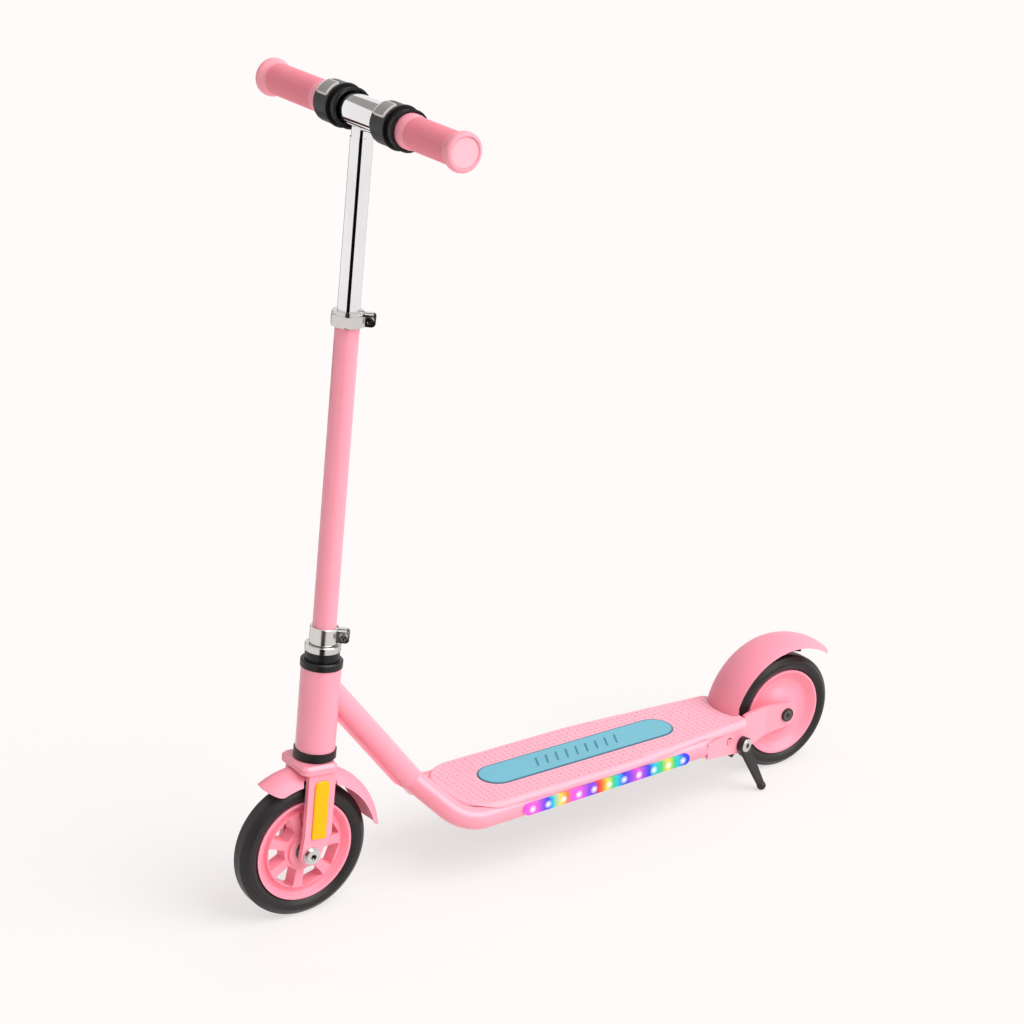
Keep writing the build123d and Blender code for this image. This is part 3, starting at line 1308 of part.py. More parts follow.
def stand_bolt():
    """Kickstand bolt: round silver head with a hexagon socket, shank and a nut inside the plate."""
    seat = 2 * MOVE_GAP + STAND_HUB_THICK
    inside = -PLATE_THICK - BRACKET_THICK - 2 * FIT
    top = seat + HEAD_HEIGHT / 2
    body = bar(STAND_BOLT_RADIUS, inside - NUT_HEIGHT, seat) + bar(STAND_BOLT_HEAD, seat, top)
    body = fillet(body.edges().group_by(Axis.Z)[-1], CUP_BEVEL)
    body -= prism(hexagon(SOCKET_ACROSS), top - SOCKET_DEPTH, top)
    body += prism(hexagon(NUT_ACROSS), inside - NUT_HEIGHT, inside)
    return plate_plane(STAND_X, STAND_Z) * body


def light_button_block(grow, low, high):
    """Rounded bar of the light button's outline, standing out from the dropout plate."""
    return prism(stadium(LIGHT_BUTTON_LENGTH + 2 * grow, LIGHT_BUTTON_HEIGHT + 2 * grow), low, high)


def light_button():
    """Push button of the lights, with a flange behind the plate that holds it in."""
    proud = LIGHT_BUTTON_TRAVEL + LIGHT_BUTTON_REST
    body = light_button_block(0, -PLATE_THICK - BUTTON_FLANGE, proud)
    body = fillet(body.edges().group_by(Axis.Z)[-1], BUTTON_FLANGE / 3)
    flange = light_button_block(BUTTON_FLANGE, -PLATE_THICK - PLAY - BUTTON_FLANGE, -PLATE_THICK - PLAY)
    return plate_plane(LIGHT_BUTTON_X, LIGHT_BUTTON_Z) * (body + flange)


def steering_pieces():
    """Pieces drawn about the steering axis."""
    left_seat, right_seat = CROSS_LEFT + FLANGE_THICK, -CROSS_RIGHT + SEAT_GAP
    at_bar = Pos(0, 0, BAR_HEIGHT)
    at_left, at_right = Pos(0, LEFT_COLLAR_Y, BAR_HEIGHT), Pos(0, RIGHT_COLLAR_Y, BAR_HEIGHT)
    stem_bolt = clamp_bolt(CLAMP_RADIUS, stem_clamp_middle())
    height_bolt = clamp_bolt(HEIGHT_CLAMP_RADIUS, height_clamp_middle())
    axle = Pos(AXLE_LEAD, 0, 0)
    return {
        "fork": fork(),
        "front_fender": front_fender(),
        "reflectors": Compound([reflector(), mirrored(reflector())]),
        "lower_headset_cup": lower_cup(),
        "upper_headset_cup": upper_cup(),
        "headset_bearings": headset_bearings(),
        "headset_locknut": locknut(),
        "stem_tube": pipe(STEM_RADIUS, STEM_BORE, STEM_BOTTOM, STEM_TOP),
        "stem_clamp": stem_clamp(),
        "height_clamp": height_clamp(),
        "clamp_bolts": Compound([stem_bolt, height_bolt]),
        "handlebar": handlebar(),
        "left_collar": at_left * collar(),
        "right_collar": at_right * collar(),
        "left_release_button": at_left * release_button(),
        "right_release_button": at_right * release_button(),
        "left_grip": at_bar * grip(left_seat),
        "right_grip": at_bar * mirrored(grip(right_seat)),
        "left_grip_tube": at_bar * grip_tube(CROSS_LEFT),
        "right_grip_tube": at_bar * mirrored(grip_tube(-CROSS_RIGHT)),
        "left_grip_end": at_bar * end_disc(),
        "right_grip_end": at_bar * mirrored(end_disc()),
        "front_axle": axle * front_axle(),
        "front_axle_nut": axle * front_axle_nut(),
        "front_axle_spacers": axle * axle_spacers(FRONT_SPACER_RADIUS, HUB_HALF, LEG_INNER),
        "front_tyre": axle * tyre(FRONT_TYRE_RADIUS, FRONT_LIP_RADIUS),
        "front_rim": axle * spoked_rim(),
        "front_bearings": axle * bearing_pair(HUB_HALF),
        "front_bearing_spacer": axle * bearing_spacer(HUB_HALF),
    }


def rear_hub_pieces():
    """Pieces drawn about the rear axle."""
    return {
        "rear_tyre": tyre(REAR_TYRE_RADIUS, REAR_LIP_RADIUS),
        "rear_rim": dished_rim(),
        "rear_bearings": bearing_pair(DOME_FACE),
        "rear_bearing_spacer": bearing_spacer(DOME_FACE),
        "rear_axle": rear_axle(),
        "rear_axle_caps": axle_caps(),
        "rear_axle_spacers": axle_spacers(SPACER_RADIUS, DOME_FACE, PLATE_AXLE_Y - PLATE_THICK),
    }


def frame_pieces():
    """Pieces of the frame, deck, brake and kickstand, drawn with the rear axle above X = 0."""
    return {
        "head_tube": head_tube(),
        "down_tube": down_tube(),
        "left_rail": rail(),
        "right_rail": mirrored(rail()),
        "left_dropout": left_dropout(),
        "right_dropout": mirrored(dropout()),
        "rear_bridge": rear_bridge(),
        "deck_tray": deck_tray(),
        "deck_pad": deck_pad(),
        "under_cover": under_cover(),
        "battery_door": battery_door(),
        "battery_door_screws": door_screws(),
        "battery_cells": battery_cells(),
        "light_lenses": light_lenses(),
        "light_boards": light_boards(),
        "light_button": light_button(),
        "brake_pin": brake_pin(),
        "brake_spring": brake_spring(),
        "brake_fender": brake_fender(),
        "brake_block": brake_block(),
        "kickstand_bracket": stand_bracket(),
        "kickstand_bolt": stand_bolt(),
        "kickstand_leg": stand_leg(),
    }


def all_pieces():
    """Every piece of the scooter, in its place."""
    pieces = {node: STEERING * shape for node, shape in steering_pieces().items()}
    pieces.update({node: REAR_HUB * shape for node, shape in rear_hub_pieces().items()})
    pieces.update(frame_pieces())
    return {node: Pos(REAR_X, 0, 0) * shape for node, shape in pieces.items()}


os.makedirs("parts", exist_ok=True)
for node_name, piece in all_pieces().items():
    export_step(piece, f"parts/{node_name}.step")
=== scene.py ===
"""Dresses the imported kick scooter: its finishes, fender, grips, deck studs and lights, and the stage."""
import json
import math

import bpy
import numpy as np
from bpy.props import FloatProperty, FloatVectorProperty, IntProperty, PointerProperty
from mathutils import Matrix, Vector
from mathutils.bvhtree import BVHTree


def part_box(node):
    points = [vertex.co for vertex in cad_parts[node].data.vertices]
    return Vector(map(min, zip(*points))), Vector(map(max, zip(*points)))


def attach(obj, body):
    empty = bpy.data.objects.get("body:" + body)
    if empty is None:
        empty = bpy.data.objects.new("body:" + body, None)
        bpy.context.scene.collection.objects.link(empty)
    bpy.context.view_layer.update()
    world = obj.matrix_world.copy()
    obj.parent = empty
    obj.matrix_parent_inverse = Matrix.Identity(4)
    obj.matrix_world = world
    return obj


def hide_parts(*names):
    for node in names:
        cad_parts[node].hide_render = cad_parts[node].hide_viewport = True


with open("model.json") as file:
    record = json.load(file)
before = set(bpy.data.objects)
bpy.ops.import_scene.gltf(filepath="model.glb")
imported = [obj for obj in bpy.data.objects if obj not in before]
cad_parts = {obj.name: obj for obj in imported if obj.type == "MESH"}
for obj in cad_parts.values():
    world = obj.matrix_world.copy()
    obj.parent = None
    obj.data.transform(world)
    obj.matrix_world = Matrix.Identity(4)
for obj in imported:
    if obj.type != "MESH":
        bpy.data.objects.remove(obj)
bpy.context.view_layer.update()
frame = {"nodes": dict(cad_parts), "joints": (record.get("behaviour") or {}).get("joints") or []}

bl_info = {
    "name": "Kick scooter dresser",
    "version": (1, 0, 0),
    "blender": (4, 5, 0),
    "location": "View3D > Sidebar > Scooter",
    "description": "Gives a packed kick scooter its finishes, front fender, grips, deck studs, lights and stage",
    "category": "Object",
}

NODES = frame["nodes"]
JOINTS = {joint["name"]: joint for joint in frame["joints"]}


def display(red, green, blue):
    """A colour read as 0 to 255 display values, turned into linear light."""
    share = np.array([red, green, blue]) / 255
    linear = np.where(share <= 0.04045, share / 12.92, ((share + 0.055) / 1.055) ** 2.4)
    return tuple(float(value) for value in linear)


def colour(title, what, red, green, blue):
    """A colour property with its default given in display values."""
    return FloatVectorProperty(
        name=title, description=what, subtype="COLOR", size=3, min=0, max=1, default=display(red, green, blue)
    )


def length(title, what, default):
    """A length property in metres."""
    return FloatProperty(name=title, description=what, default=default, min=0, unit="LENGTH", precision=5)


class ScooterColours(bpy.types.PropertyGroup):
    """Colours of the scooter's finishes"""

    paint: colour("Frame paint", "Enamel on the tubes, fork and stem", 255, 157, 175)
    plastic: colour("Pink plastic", "Fenders and wheel rims", 255, 154, 173)
    deck: colour("Deck plastic", "Moulded deck", 252, 178, 194)
    # Painted shade: darker foot round each raised deck stud, where shade falls at its base.
    deck_stud_foot_shade: colour("Deck mark", "Foot of each raised mark on the deck", 204, 118, 136)
    pad: colour("Deck pad", "Rubber pad to stand on", 116, 184, 203)
    # Painted shade: dark ribs and a dark band round the pad's rim stand in for the shade of its grooves and edge gap.
    pad_rib_and_gap_shade: colour("Pad line", "Ribs and rim of the pad", 70, 118, 140)
    grip: colour("Grip rubber", "Sleeves of the grips", 255, 164, 178)
    # Painted shade: darker rubber in the hollows between the grip's bumps.
    grip_hollow_shade: colour("Grip rubber, low", "Between the small bumps of the grips", 240, 132, 147)
    grip_end: colour("Grip end", "Discs that close the grips", 255, 184, 196)
    tyre: colour("Tyre rubber", "Both tyres", 34, 30, 31)
    black: colour("Black plastic", "Collars and headset cups", 17, 15, 16)
    grey: colour("Grey plastic", "Release buttons", 146, 143, 141)
    # Painted highlight: bright bevelled edge of the release buttons.
    grey_rim_highlight: colour("Grey plastic, rim", "Bright edge of the release buttons", 222, 220, 216)
    cap: colour("Axle cap", "Rear axle caps", 96, 89, 84)
    chrome: colour("Chrome", "Sliding tube and cross tube", 236, 236, 238)
    steel: colour("Bright steel", "Clamps, nuts and bolts", 214, 212, 209)
    dull_steel: colour("Plain steel", "Axles, bearings and pins", 160, 160, 162)
    # Painted shade: dark inside of the bolt sockets and axle caps, also the light button's gap and middle line.
    socket_shade: colour("Socket", "Inside of the bolt heads' sockets", 26, 24, 24)
    amber: colour("Amber", "Fork reflectors", 255, 182, 0)
    stand: colour("Kickstand black", "Kickstand leg and bracket", 42, 36, 36)
    floor: colour("Floor", "Studio floor", 254, 251, 250)


class ScooterSizes(bpy.types.PropertyGroup):
    """Sizes of the details that are added to the scooter"""

    bump_height: length("Grip bump height", "How far the grip's bumps stand out", 0.0004)
    bump_rows: IntProperty(name="Grip bump rows", description="Bumps counted round the grip", default=40, min=8)
    stud_height: length("Deck stud height", "How far the deck's studs stand out", 0.0004)
    stud_pitch: length("Deck stud pitch", "Distance between the deck's studs", 0.0068)
    light_count: IntProperty(name="Lights", description="Lights in each strip", default=11, min=1)


def colours():
    """The colours set in the sidebar."""
    return bpy.context.scene.scooter_colours


def sizes():
    """The sizes set in the sidebar."""
    return bpy.context.scene.scooter_sizes


def shade(value, factor):
    """A colour made darker or lighter, with an opaque alpha."""
    return tuple(min(1.0, channel * factor) for channel in value) + (1.0,)


def point_in(nodes, links, come):
    """Inside a group: the Object coordinates, less the group's Centre."""
    place = nodes.new("ShaderNodeTexCoord")
    offset = nodes.new("ShaderNodeVectorMath")
    offset.operation = "SUBTRACT"
    links.new(place.outputs["Object"], offset.inputs[0])
    links.new(come.outputs["Centre"], offset.inputs[1])
    return offset.outputs["Vector"]


def combine(nodes, links, operation, first, second):
    """One Math node on two sockets, on a socket and a number, or on one socket alone."""
    node = nodes.new("ShaderNodeMath")
    node.operation = operation
    for number, value in enumerate((first, second)):
        if isinstance(value, (int, float)):
            node.inputs[number].default_value = value
        elif value is not None:
            links.new(value, node.inputs[number])
    return node.outputs["Value"]


def new_group(title, takes, gives):
    """An empty shader group with its named sockets; returns it with its nodes, links and both ends."""
    group = bpy.data.node_groups.new(title, "ShaderNodeTree")
    for name, kind in takes:
        group.interface.new_socket(name=name, in_out="INPUT", socket_type=kind)
    for name in gives:
        group.interface.new_socket(name=name, in_out="OUTPUT", socket_type="NodeSocketFloat")
    nodes = group.nodes
    return group, nodes, group.links, nodes.new("NodeGroupInput"), nodes.new("NodeGroupOutput")


def variation_group():
    """Shader group: fine grain and broad blotches, from Object coordinates at given scales."""
    found = bpy.data.node_groups.get("Surface variation")
    if found:
        return found
    takes = [(name, "NodeSocketFloat") for name in ("Grain Scale", "Blotch Scale", "Grain Stretch")]
    group, nodes, links, come, go = new_group("Surface variation", takes, ["Grain", "Blotch"])
    place = nodes.new("ShaderNodeTexCoord")
    stretch = nodes.new("ShaderNodeCombineXYZ")
    stretch.inputs["X"].default_value = 1
    stretch.inputs["Y"].default_value = 1
    links.new(come.outputs["Grain Stretch"], stretch.inputs["Z"])
    scaled = nodes.new("ShaderNodeVectorMath")
    scaled.operation = "MULTIPLY"
    links.new(place.outputs["Object"], scaled.inputs[0])
    links.new(stretch.outputs["Vector"], scaled.inputs[1])
    grain = nodes.new("ShaderNodeTexNoise")
    grain.inputs["Detail"].default_value = 3
    links.new(scaled.outputs["Vector"], grain.inputs["Vector"])
    links.new(come.outputs["Grain Scale"], grain.inputs["Scale"])
    blotch = nodes.new("ShaderNodeTexNoise")
    blotch.inputs["Detail"].default_value = 4
    blotch.inputs["Roughness"].default_value = 0.6
    links.new(place.outputs["Object"], blotch.inputs["Vector"])
    links.new(come.outputs["Blotch Scale"], blotch.inputs["Scale"])
    links.new(grain.outputs["Fac"], go.inputs["Grain"])
    links.new(blotch.outputs["Fac"], go.inputs["Blotch"])
    return group


def axis_group():
    """Shader group: distance from the line through Centre along Axis."""
    found = bpy.data.node_groups.get("Round an axis")
    if found:
        return found
    takes = [("Centre", "NodeSocketVector"), ("Axis", "NodeSocketVector")]
    group, nodes, links, come, go = new_group("Round an axis", takes, ["Distance"])
    cross = nodes.new("ShaderNodeVectorMath")
    cross.operation = "CROSS_PRODUCT"
    links.new(point_in(nodes, links, come), cross.inputs[0])
    links.new(come.outputs["Axis"], cross.inputs[1])
    size = nodes.new("ShaderNodeVectorMath")
    size.operation = "LENGTH"
    links.new(cross.outputs["Vector"], size.inputs[0])
    links.new(size.outputs["Value"], go.inputs["Distance"])
    return group


def panel_group():
    """Shader group for a flat panel: distances from its middle, from a spine and to its edge.

    From Middle is |along|. Spine is the distance from a line of half length Run along the panel. Edge is the larger of
    |along| - Half Along and |across| - Half Across, which is 0 at a straight edge and below 0 inside.
    """
    found = bpy.data.node_groups.get("Across a panel")
    if found:
        return found
    takes = [(name, "NodeSocketVector") for name in ("Centre", "Along", "Across")]
    takes += [(name, "NodeSocketFloat") for name in ("Run", "Half Along", "Half Across")]
    group, nodes, links, come, go = new_group("Across a panel", takes, ["From Middle", "Spine", "Edge"])
    offset = point_in(nodes, links, come)
    spans = {}
    for name in ("Along", "Across"):
        dot = nodes.new("ShaderNodeVectorMath")
        dot.operation = "DOT_PRODUCT"
        links.new(offset, dot.inputs[0])
        links.new(come.outputs[name], dot.inputs[1])
        spans[name] = combine(nodes, links, "ABSOLUTE", dot.outputs["Value"], None)
    links.new(spans["Along"], go.inputs["From Middle"])
    past = combine(nodes, links, "SUBTRACT", spans["Along"], come.outputs["Run"])
    past = combine(nodes, links, "MAXIMUM", past, 0.0)
    flat = nodes.new("ShaderNodeCombineXYZ")
    links.new(past, flat.inputs["X"])
    links.new(spans["Across"], flat.inputs["Y"])
    spine = nodes.new("ShaderNodeVectorMath")
    spine.operation = "LENGTH"
    links.new(flat.outputs["Vector"], spine.inputs[0])
    links.new(spine.outputs["Value"], go.inputs["Spine"])
    ends = [combine(nodes, links, "SUBTRACT", spans[name], come.outputs["Half " + name]) for name in spans]
    links.new(combine(nodes, links, "MAXIMUM", ends[0], ends[1]), go.inputs["Edge"])
    return group


class Finish:
    """A material under construction: a Principled BSDF fed by the shared variation group."""

    def __init__(self, name, grain_scale, blotch_scale=14.0, stretch=1.0):
        self.material = bpy.data.materials.new(name)
        self.material.use_nodes = True
        tree = self.material.node_tree
        self.nodes, self.links = tree.nodes, tree.links
        self.shader = self.nodes["Principled BSDF"]
        self.base = None
        self.vary = self.place(variation_group())
        self.vary.inputs["Grain Scale"].default_value = grain_scale
        self.vary.inputs["Blotch Scale"].default_value = blotch_scale
        self.vary.inputs["Grain Stretch"].default_value = stretch

    def place(self, group, **values):
        """Places a shared group, with values for its vector and number sockets."""
        node = self.nodes.new("ShaderNodeGroup")
        node.node_tree = group
        for name, value in values.items():
            node.inputs[name.replace("_", " ")].default_value = value
        return node

    def round_axis(self, centre, axis):
        """Distance from an axis."""
        return self.place(axis_group(), Centre=tuple(centre), Axis=tuple(axis)).outputs["Distance"]

    def spread(self, source, low, high, start=0.3, end=0.7):
        """Value that runs from low to high as another goes from start to end."""
        node = self.nodes.new("ShaderNodeMapRange")
        node.inputs["From Min"].default_value = start
        node.inputs["From Max"].default_value = end
        node.inputs["To Min"].default_value = low
        node.inputs["To Max"].default_value = high
        self.links.new(source, node.inputs["Value"])
        return node.outputs["Result"]

    def set_base(self, source):
        """Feeds the base colour, and keeps it for what is laid over it."""
        self.base = source
        self.links.new(source, self.shader.inputs["Base Color"])

    def tone(self, value, low, high):
        """Base colour that drifts over the surface, from value * low to value * high."""
        node = self.nodes.new("ShaderNodeValToRGB")
        first, last = node.color_ramp.elements
        first.position, first.color = 0.3, shade(value, low)
        last.position, last.color = 0.7, shade(value, high)
        self.links.new(self.vary.outputs["Blotch"], node.inputs["Fac"])
        self.set_base(node.outputs["Color"])

    def overlay(self, mask, value):
        """Lays a colour over the base colour where a mask is 1."""
        mix = self.nodes.new("ShaderNodeMix")
        mix.data_type = "RGBA"
        self.links.new(mask, mix.inputs["Factor"])
        self.links.new(self.base, mix.inputs["A"])
        mix.inputs["B"].default_value = shade(value, 1.0)
        self.set_base(mix.outputs["Result"])

    def relief(self, low):
        """Painted shade: darkens the base colour where the mesh's own relief attribute is low, in the hollows between
        raised parts.
        """
        read = self.nodes.new("ShaderNodeAttribute")
        read.attribute_name = "Relief"
        self.overlay(self.spread(read.outputs["Fac"], 1.0, 0.0, 0.1, 0.9), low)

    def rough(self, low, high):
        """Roughness that drifts over the surface."""
        self.links.new(self.spread(self.vary.outputs["Blotch"], low, high), self.shader.inputs["Roughness"])

    def bump(self, height, depth, strength=1.0, under=None):
        """Relief of a depth in metres; under is relief that it lies on."""
        node = self.nodes.new("ShaderNodeBump")
        node.inputs["Strength"].default_value = strength
        node.inputs["Distance"].default_value = depth
        self.links.new(height, node.inputs["Height"])
        if under is not None:
            self.links.new(under, node.inputs["Normal"])
        self.links.new(node.outputs["Normal"], self.shader.inputs["Normal"])
        return node.outputs["Normal"]

    def put_on(self, *names):
        """Gives the finish to CAD nodes."""
        for name in names:
            mesh = NODES[name].data
            mesh.materials.clear()
            mesh.materials.append(self.material)


def plastic(name, value, low_rough, high_rough, grain_scale, grain_depth, specular=0.5):
    """Moulded plastic or rubber: fine grain, slight drift of tone and gloss."""
    made = Finish(name, grain_scale)
    made.tone(value, 0.97, 1.02)
    made.rough(low_rough, high_rough)
    made.bump(made.vary.outputs["Grain"], grain_depth)
    made.shader.inputs["Specular IOR Level"].default_value = specular
    return made


def enamel(name, value):
    """Glossy enamel: faint orange peel under a clear coat."""
    made = Finish(name, 420.0, 9.0)
    made.tone(value, 0.975, 1.015)
    made.rough(0.30, 0.40)
    made.bump(made.vary.outputs["Grain"], 0.00003)
    made.shader.inputs["Coat Weight"].default_value = 0.35
    made.shader.inputs["Coat Roughness"].default_value = 0.12
    return made


def metal(name, value, low_rough, high_rough, grain_scale, stretch, depth):
    """Bare metal with fine drawn lines along Z."""
    made = Finish(name, grain_scale, 22.0, stretch)
    made.tone(value, 0.93, 1.04)
    made.rough(low_rough, high_rough)
    made.bump(made.vary.outputs["Grain"], depth)
    made.shader.inputs["Metallic"].default_value = 1.0
    return made


def mesh_piece(name, points, quads, body, material, relief=None):
    """A new piece from whole arrays of points, faces and, where its finish reads them, relief values."""
    mesh = bpy.data.meshes.new(name)
    mesh.from_pydata(points.tolist(), [], quads.tolist())
    mesh.update()
    if relief is not None:
        mesh.attributes.new("Relief", "FLOAT", "POINT").data.foreach_set("value", relief.astype(np.float32))
    piece = bpy.data.objects.new(name, mesh)
    bpy.context.scene.collection.objects.link(piece)
    mesh.materials.append(material)
    mesh.polygons.foreach_set("use_smooth", np.ones(len(mesh.polygons), bool))
    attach(piece, body)
    return piece


def ring_quads(rows, columns):
    """Faces of a grid that closes on itself both ways: row i, column j to i + 1, j + 1."""
    i, j = np.meshgrid(np.arange(rows), np.arange(columns), indexing="ij")
    below, beside = (i + 1) % rows, (j + 1) % columns
    corners = [i * columns + j, i * columns + beside, below * columns + beside, below * columns + j]
    return np.stack(corners, axis=-1).reshape(-1, 4)


def bar_middle():
    """Middle of the handlebar's cross tube, and the steering axis."""
    low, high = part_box("left_grip_end")
    axis = Vector(JOINTS["steering_turn"]["axis"])
    return Vector(((low.x + high.x) / 2, 0, (low.z + high.z) / 2)), axis


class SCOOTER_OT_stage(bpy.types.Operator):
    """Make the floor, the soft lights and the camera"""

    bl_idname = "scooter.stage"
    bl_label = "Stage"

    def execute(self, context):
        scene = context.scene
        scene.view_settings.view_transform = "Standard"
        self.world(scene)
        scene.collection.objects.link(self.softbox())
        for thing in (self.floor(), *self.cards()):
            scene.collection.objects.link(thing)
        scene.camera = self.camera()
        scene.collection.objects.link(scene.camera)
        return {"FINISHED"}

    def seen(self, nodes, links):
        """1 for rays from the camera, from shiny surfaces and through clear ones."""
        path = nodes.new("ShaderNodeLightPath")
        either = combine(nodes, links, "MAXIMUM", path.outputs["Is Camera Ray"], path.outputs["Is Glossy Ray"])
        return combine(nodes, links, "MAXIMUM", either, path.outputs["Is Transmission Ray"])

    def toward(self, azimuth, elevation):
        """Unit vector towards an azimuth and elevation in degrees."""
        turn, rise = math.radians(azimuth), math.radians(elevation)
        return Vector((math.cos(turn) * math.cos(rise), math.sin(turn) * math.cos(rise), math.sin(rise)))

    def softbox(self):
        """Broad key light from the left and a little behind."""
        sun = bpy.data.lights.new("Softbox", "SUN")
        sun.energy = 2.3
        sun.angle = math.radians(50)
        lamp = bpy.data.objects.new("Softbox", sun)
        lamp.rotation_euler = self.toward(120, 50).to_track_quat("Z", "Y").to_euler()
        return lamp

    def world(self, scene):
        """Soft light, brighter on the key light's side, with a pale backdrop for the rays that see it."""
        world = bpy.data.worlds.new("Studio")
        scene.world = world
        world.use_nodes = True
        nodes, links = world.node_tree.nodes, world.node_tree.links
        light = nodes["Background"]
        light.inputs["Color"].default_value = (1.0, 0.985, 0.98, 1)
        place = nodes.new("ShaderNodeTexCoord")
        side = nodes.new("ShaderNodeVectorMath")
        side.operation = "DOT_PRODUCT"
        side.inputs[1].default_value = self.toward(145, 20)
        links.new(place.outputs["Generated"], side.inputs[0])
        level = nodes.new("ShaderNodeMapRange")
        level.inputs["From Min"].default_value = -1.0
        level.inputs["To Min"].default_value = 0.13
        level.inputs["To Max"].default_value = 0.93
        links.new(side.outputs["Value"], level.inputs["Value"])
        links.new(level.outputs["Result"], light.inputs["Strength"])
        plain = nodes.new("ShaderNodeBackground")
        plain.inputs["Color"].default_value = shade(colours().floor, 1.0)
        mix = nodes.new("ShaderNodeMixShader")
        links.new(self.seen(nodes, links), mix.inputs["Fac"])
        links.new(light.outputs["Background"], mix.inputs[1])
        links.new(plain.outputs["Background"], mix.inputs[2])
        links.new(mix.outputs["Shader"], nodes["World Output"].inputs["Surface"])

    def floor(self):
        """Wide square on the ground: matt paper that keeps a soft part of the shadow."""
        half = 20.0
        mesh = bpy.data.meshes.new("Floor")
        mesh.from_pydata([(-half, -half, 0), (half, -half, 0), (half, half, 0), (-half, half, 0)], [], [(0, 1, 2, 3)])
        paper = bpy.data.materials.new("Floor paper")
        paper.use_nodes = True
        nodes, links = paper.node_tree.nodes, paper.node_tree.links
        matt = nodes["Principled BSDF"]
        matt.inputs["Base Color"].default_value = shade(colours().floor, 0.85)
        matt.inputs["Roughness"].default_value = 0.85
        matt.inputs["Specular IOR Level"].default_value = 0.0
        plain = nodes.new("ShaderNodeEmission")
        plain.inputs["Color"].default_value = shade(colours().floor, 1.0)
        share = combine(nodes, links, "MULTIPLY", self.seen(nodes, links), 0.65)
        mix = nodes.new("ShaderNodeMixShader")
        links.new(share, mix.inputs["Fac"])
        links.new(matt.outputs["BSDF"], mix.inputs[1])
        links.new(plain.outputs["Emission"], mix.inputs[2])
        links.new(mix.outputs["Shader"], nodes["Material Output"].inputs["Surface"])
        mesh.materials.append(paper)
        return bpy.data.objects.new("Floor", mesh)

    def cards(self):
        """Dark and grey cards that only shiny metal sees, so that chrome shows its usual stripes."""
        stem = Vector((JOINTS["steering_turn"]["pos_m"][0], 0, 0))
        upright = Vector((0, 0, 1.0))
        away, beyond = 0.5, -0.8
        cards = []
        upright_cards = (("Card in front", 57.0, 17.0), ("Card behind", 214.0, 5.0), ("Card beside", 266.0, 5.0))
        for name, azimuth, half in upright_cards:
            foot = stem + self.toward(azimuth, 0) * away + upright * 0.02
            side = self.toward(azimuth + 90, 0) * away * math.tan(math.radians(half))
            cards.append(self.card(name, (16, 14, 14), foot - side, side * 2, upright))
        forward = Vector((0.9, 0, 0))
        far = stem - forward / 2
        cards.append(self.card("Low card", (70, 30, 34), far + Vector((0, beyond, 0.30)), forward, upright * 0.09))
        cards.append(self.card("High card", (150, 148, 146), far + Vector((0, beyond, 1.30)), forward, upright * 0.5))
        return cards

    def card(self, name, value, corner, side, rise):
        """One upright card from a corner, a side and a rise, seen only by shiny surfaces."""
        made = plastic(name, display(*value), 0.8, 0.9, 60.0, 0.00002, 0.0)
        mesh = bpy.data.meshes.new(name)
        mesh.from_pydata([corner, corner + side, corner + side + rise, corner + rise], [], [(0, 1, 2, 3)])
        mesh.materials.append(made.material)
        card = bpy.data.objects.new(name, mesh)
        card.visible_camera = False
        card.visible_shadow = False
        card.visible_diffuse = False
        card.visible_transmission = False
        return card

    def camera(self):
        """Camera where the photograph was taken from, with its small roll, set out from the rear axle."""
        data = bpy.data.cameras.new("Camera")
        data.sensor_width = 36.0
        data.lens = 97.83
        data.clip_start, data.clip_end = 0.05, 60.0
        axle = Vector((JOINTS["rear_wheel_spin"]["pos_m"][0], 0, 0))
        place = axle + Vector((1.877255, 2.16772, 1.44105))
        ahead = (axle + Vector((0.37064, 0, 0.38478)) - place).normalized()
        right = ahead.cross(Vector((0, 0, 1))).normalized()
        up = right.cross(ahead)
        roll = math.radians(1.2)
        turned = right * math.cos(roll) + up * math.sin(roll)
        raised = up * math.cos(roll) - right * math.sin(roll)
        camera = bpy.data.objects.new("Camera", data)
        camera.matrix_world = Matrix.Translation(place) @ Matrix((turned, raised, -ahead)).transposed().to_4x4()
        return camera


class SCOOTER_OT_paint(bpy.types.Operator):
    """Paint the tubes, fork and stem"""

    bl_idname = "scooter.paint"
    bl_label = "Frame paint"

    def execute(self, context):
        made = enamel("Pink enamel", colours().paint)
        made.put_on("head_tube", "down_tube", "left_rail", "right_rail", "left_dropout", "right_dropout")
        made.put_on("rear_bridge", "stem_tube", "fork")
        return {"FINISHED"}


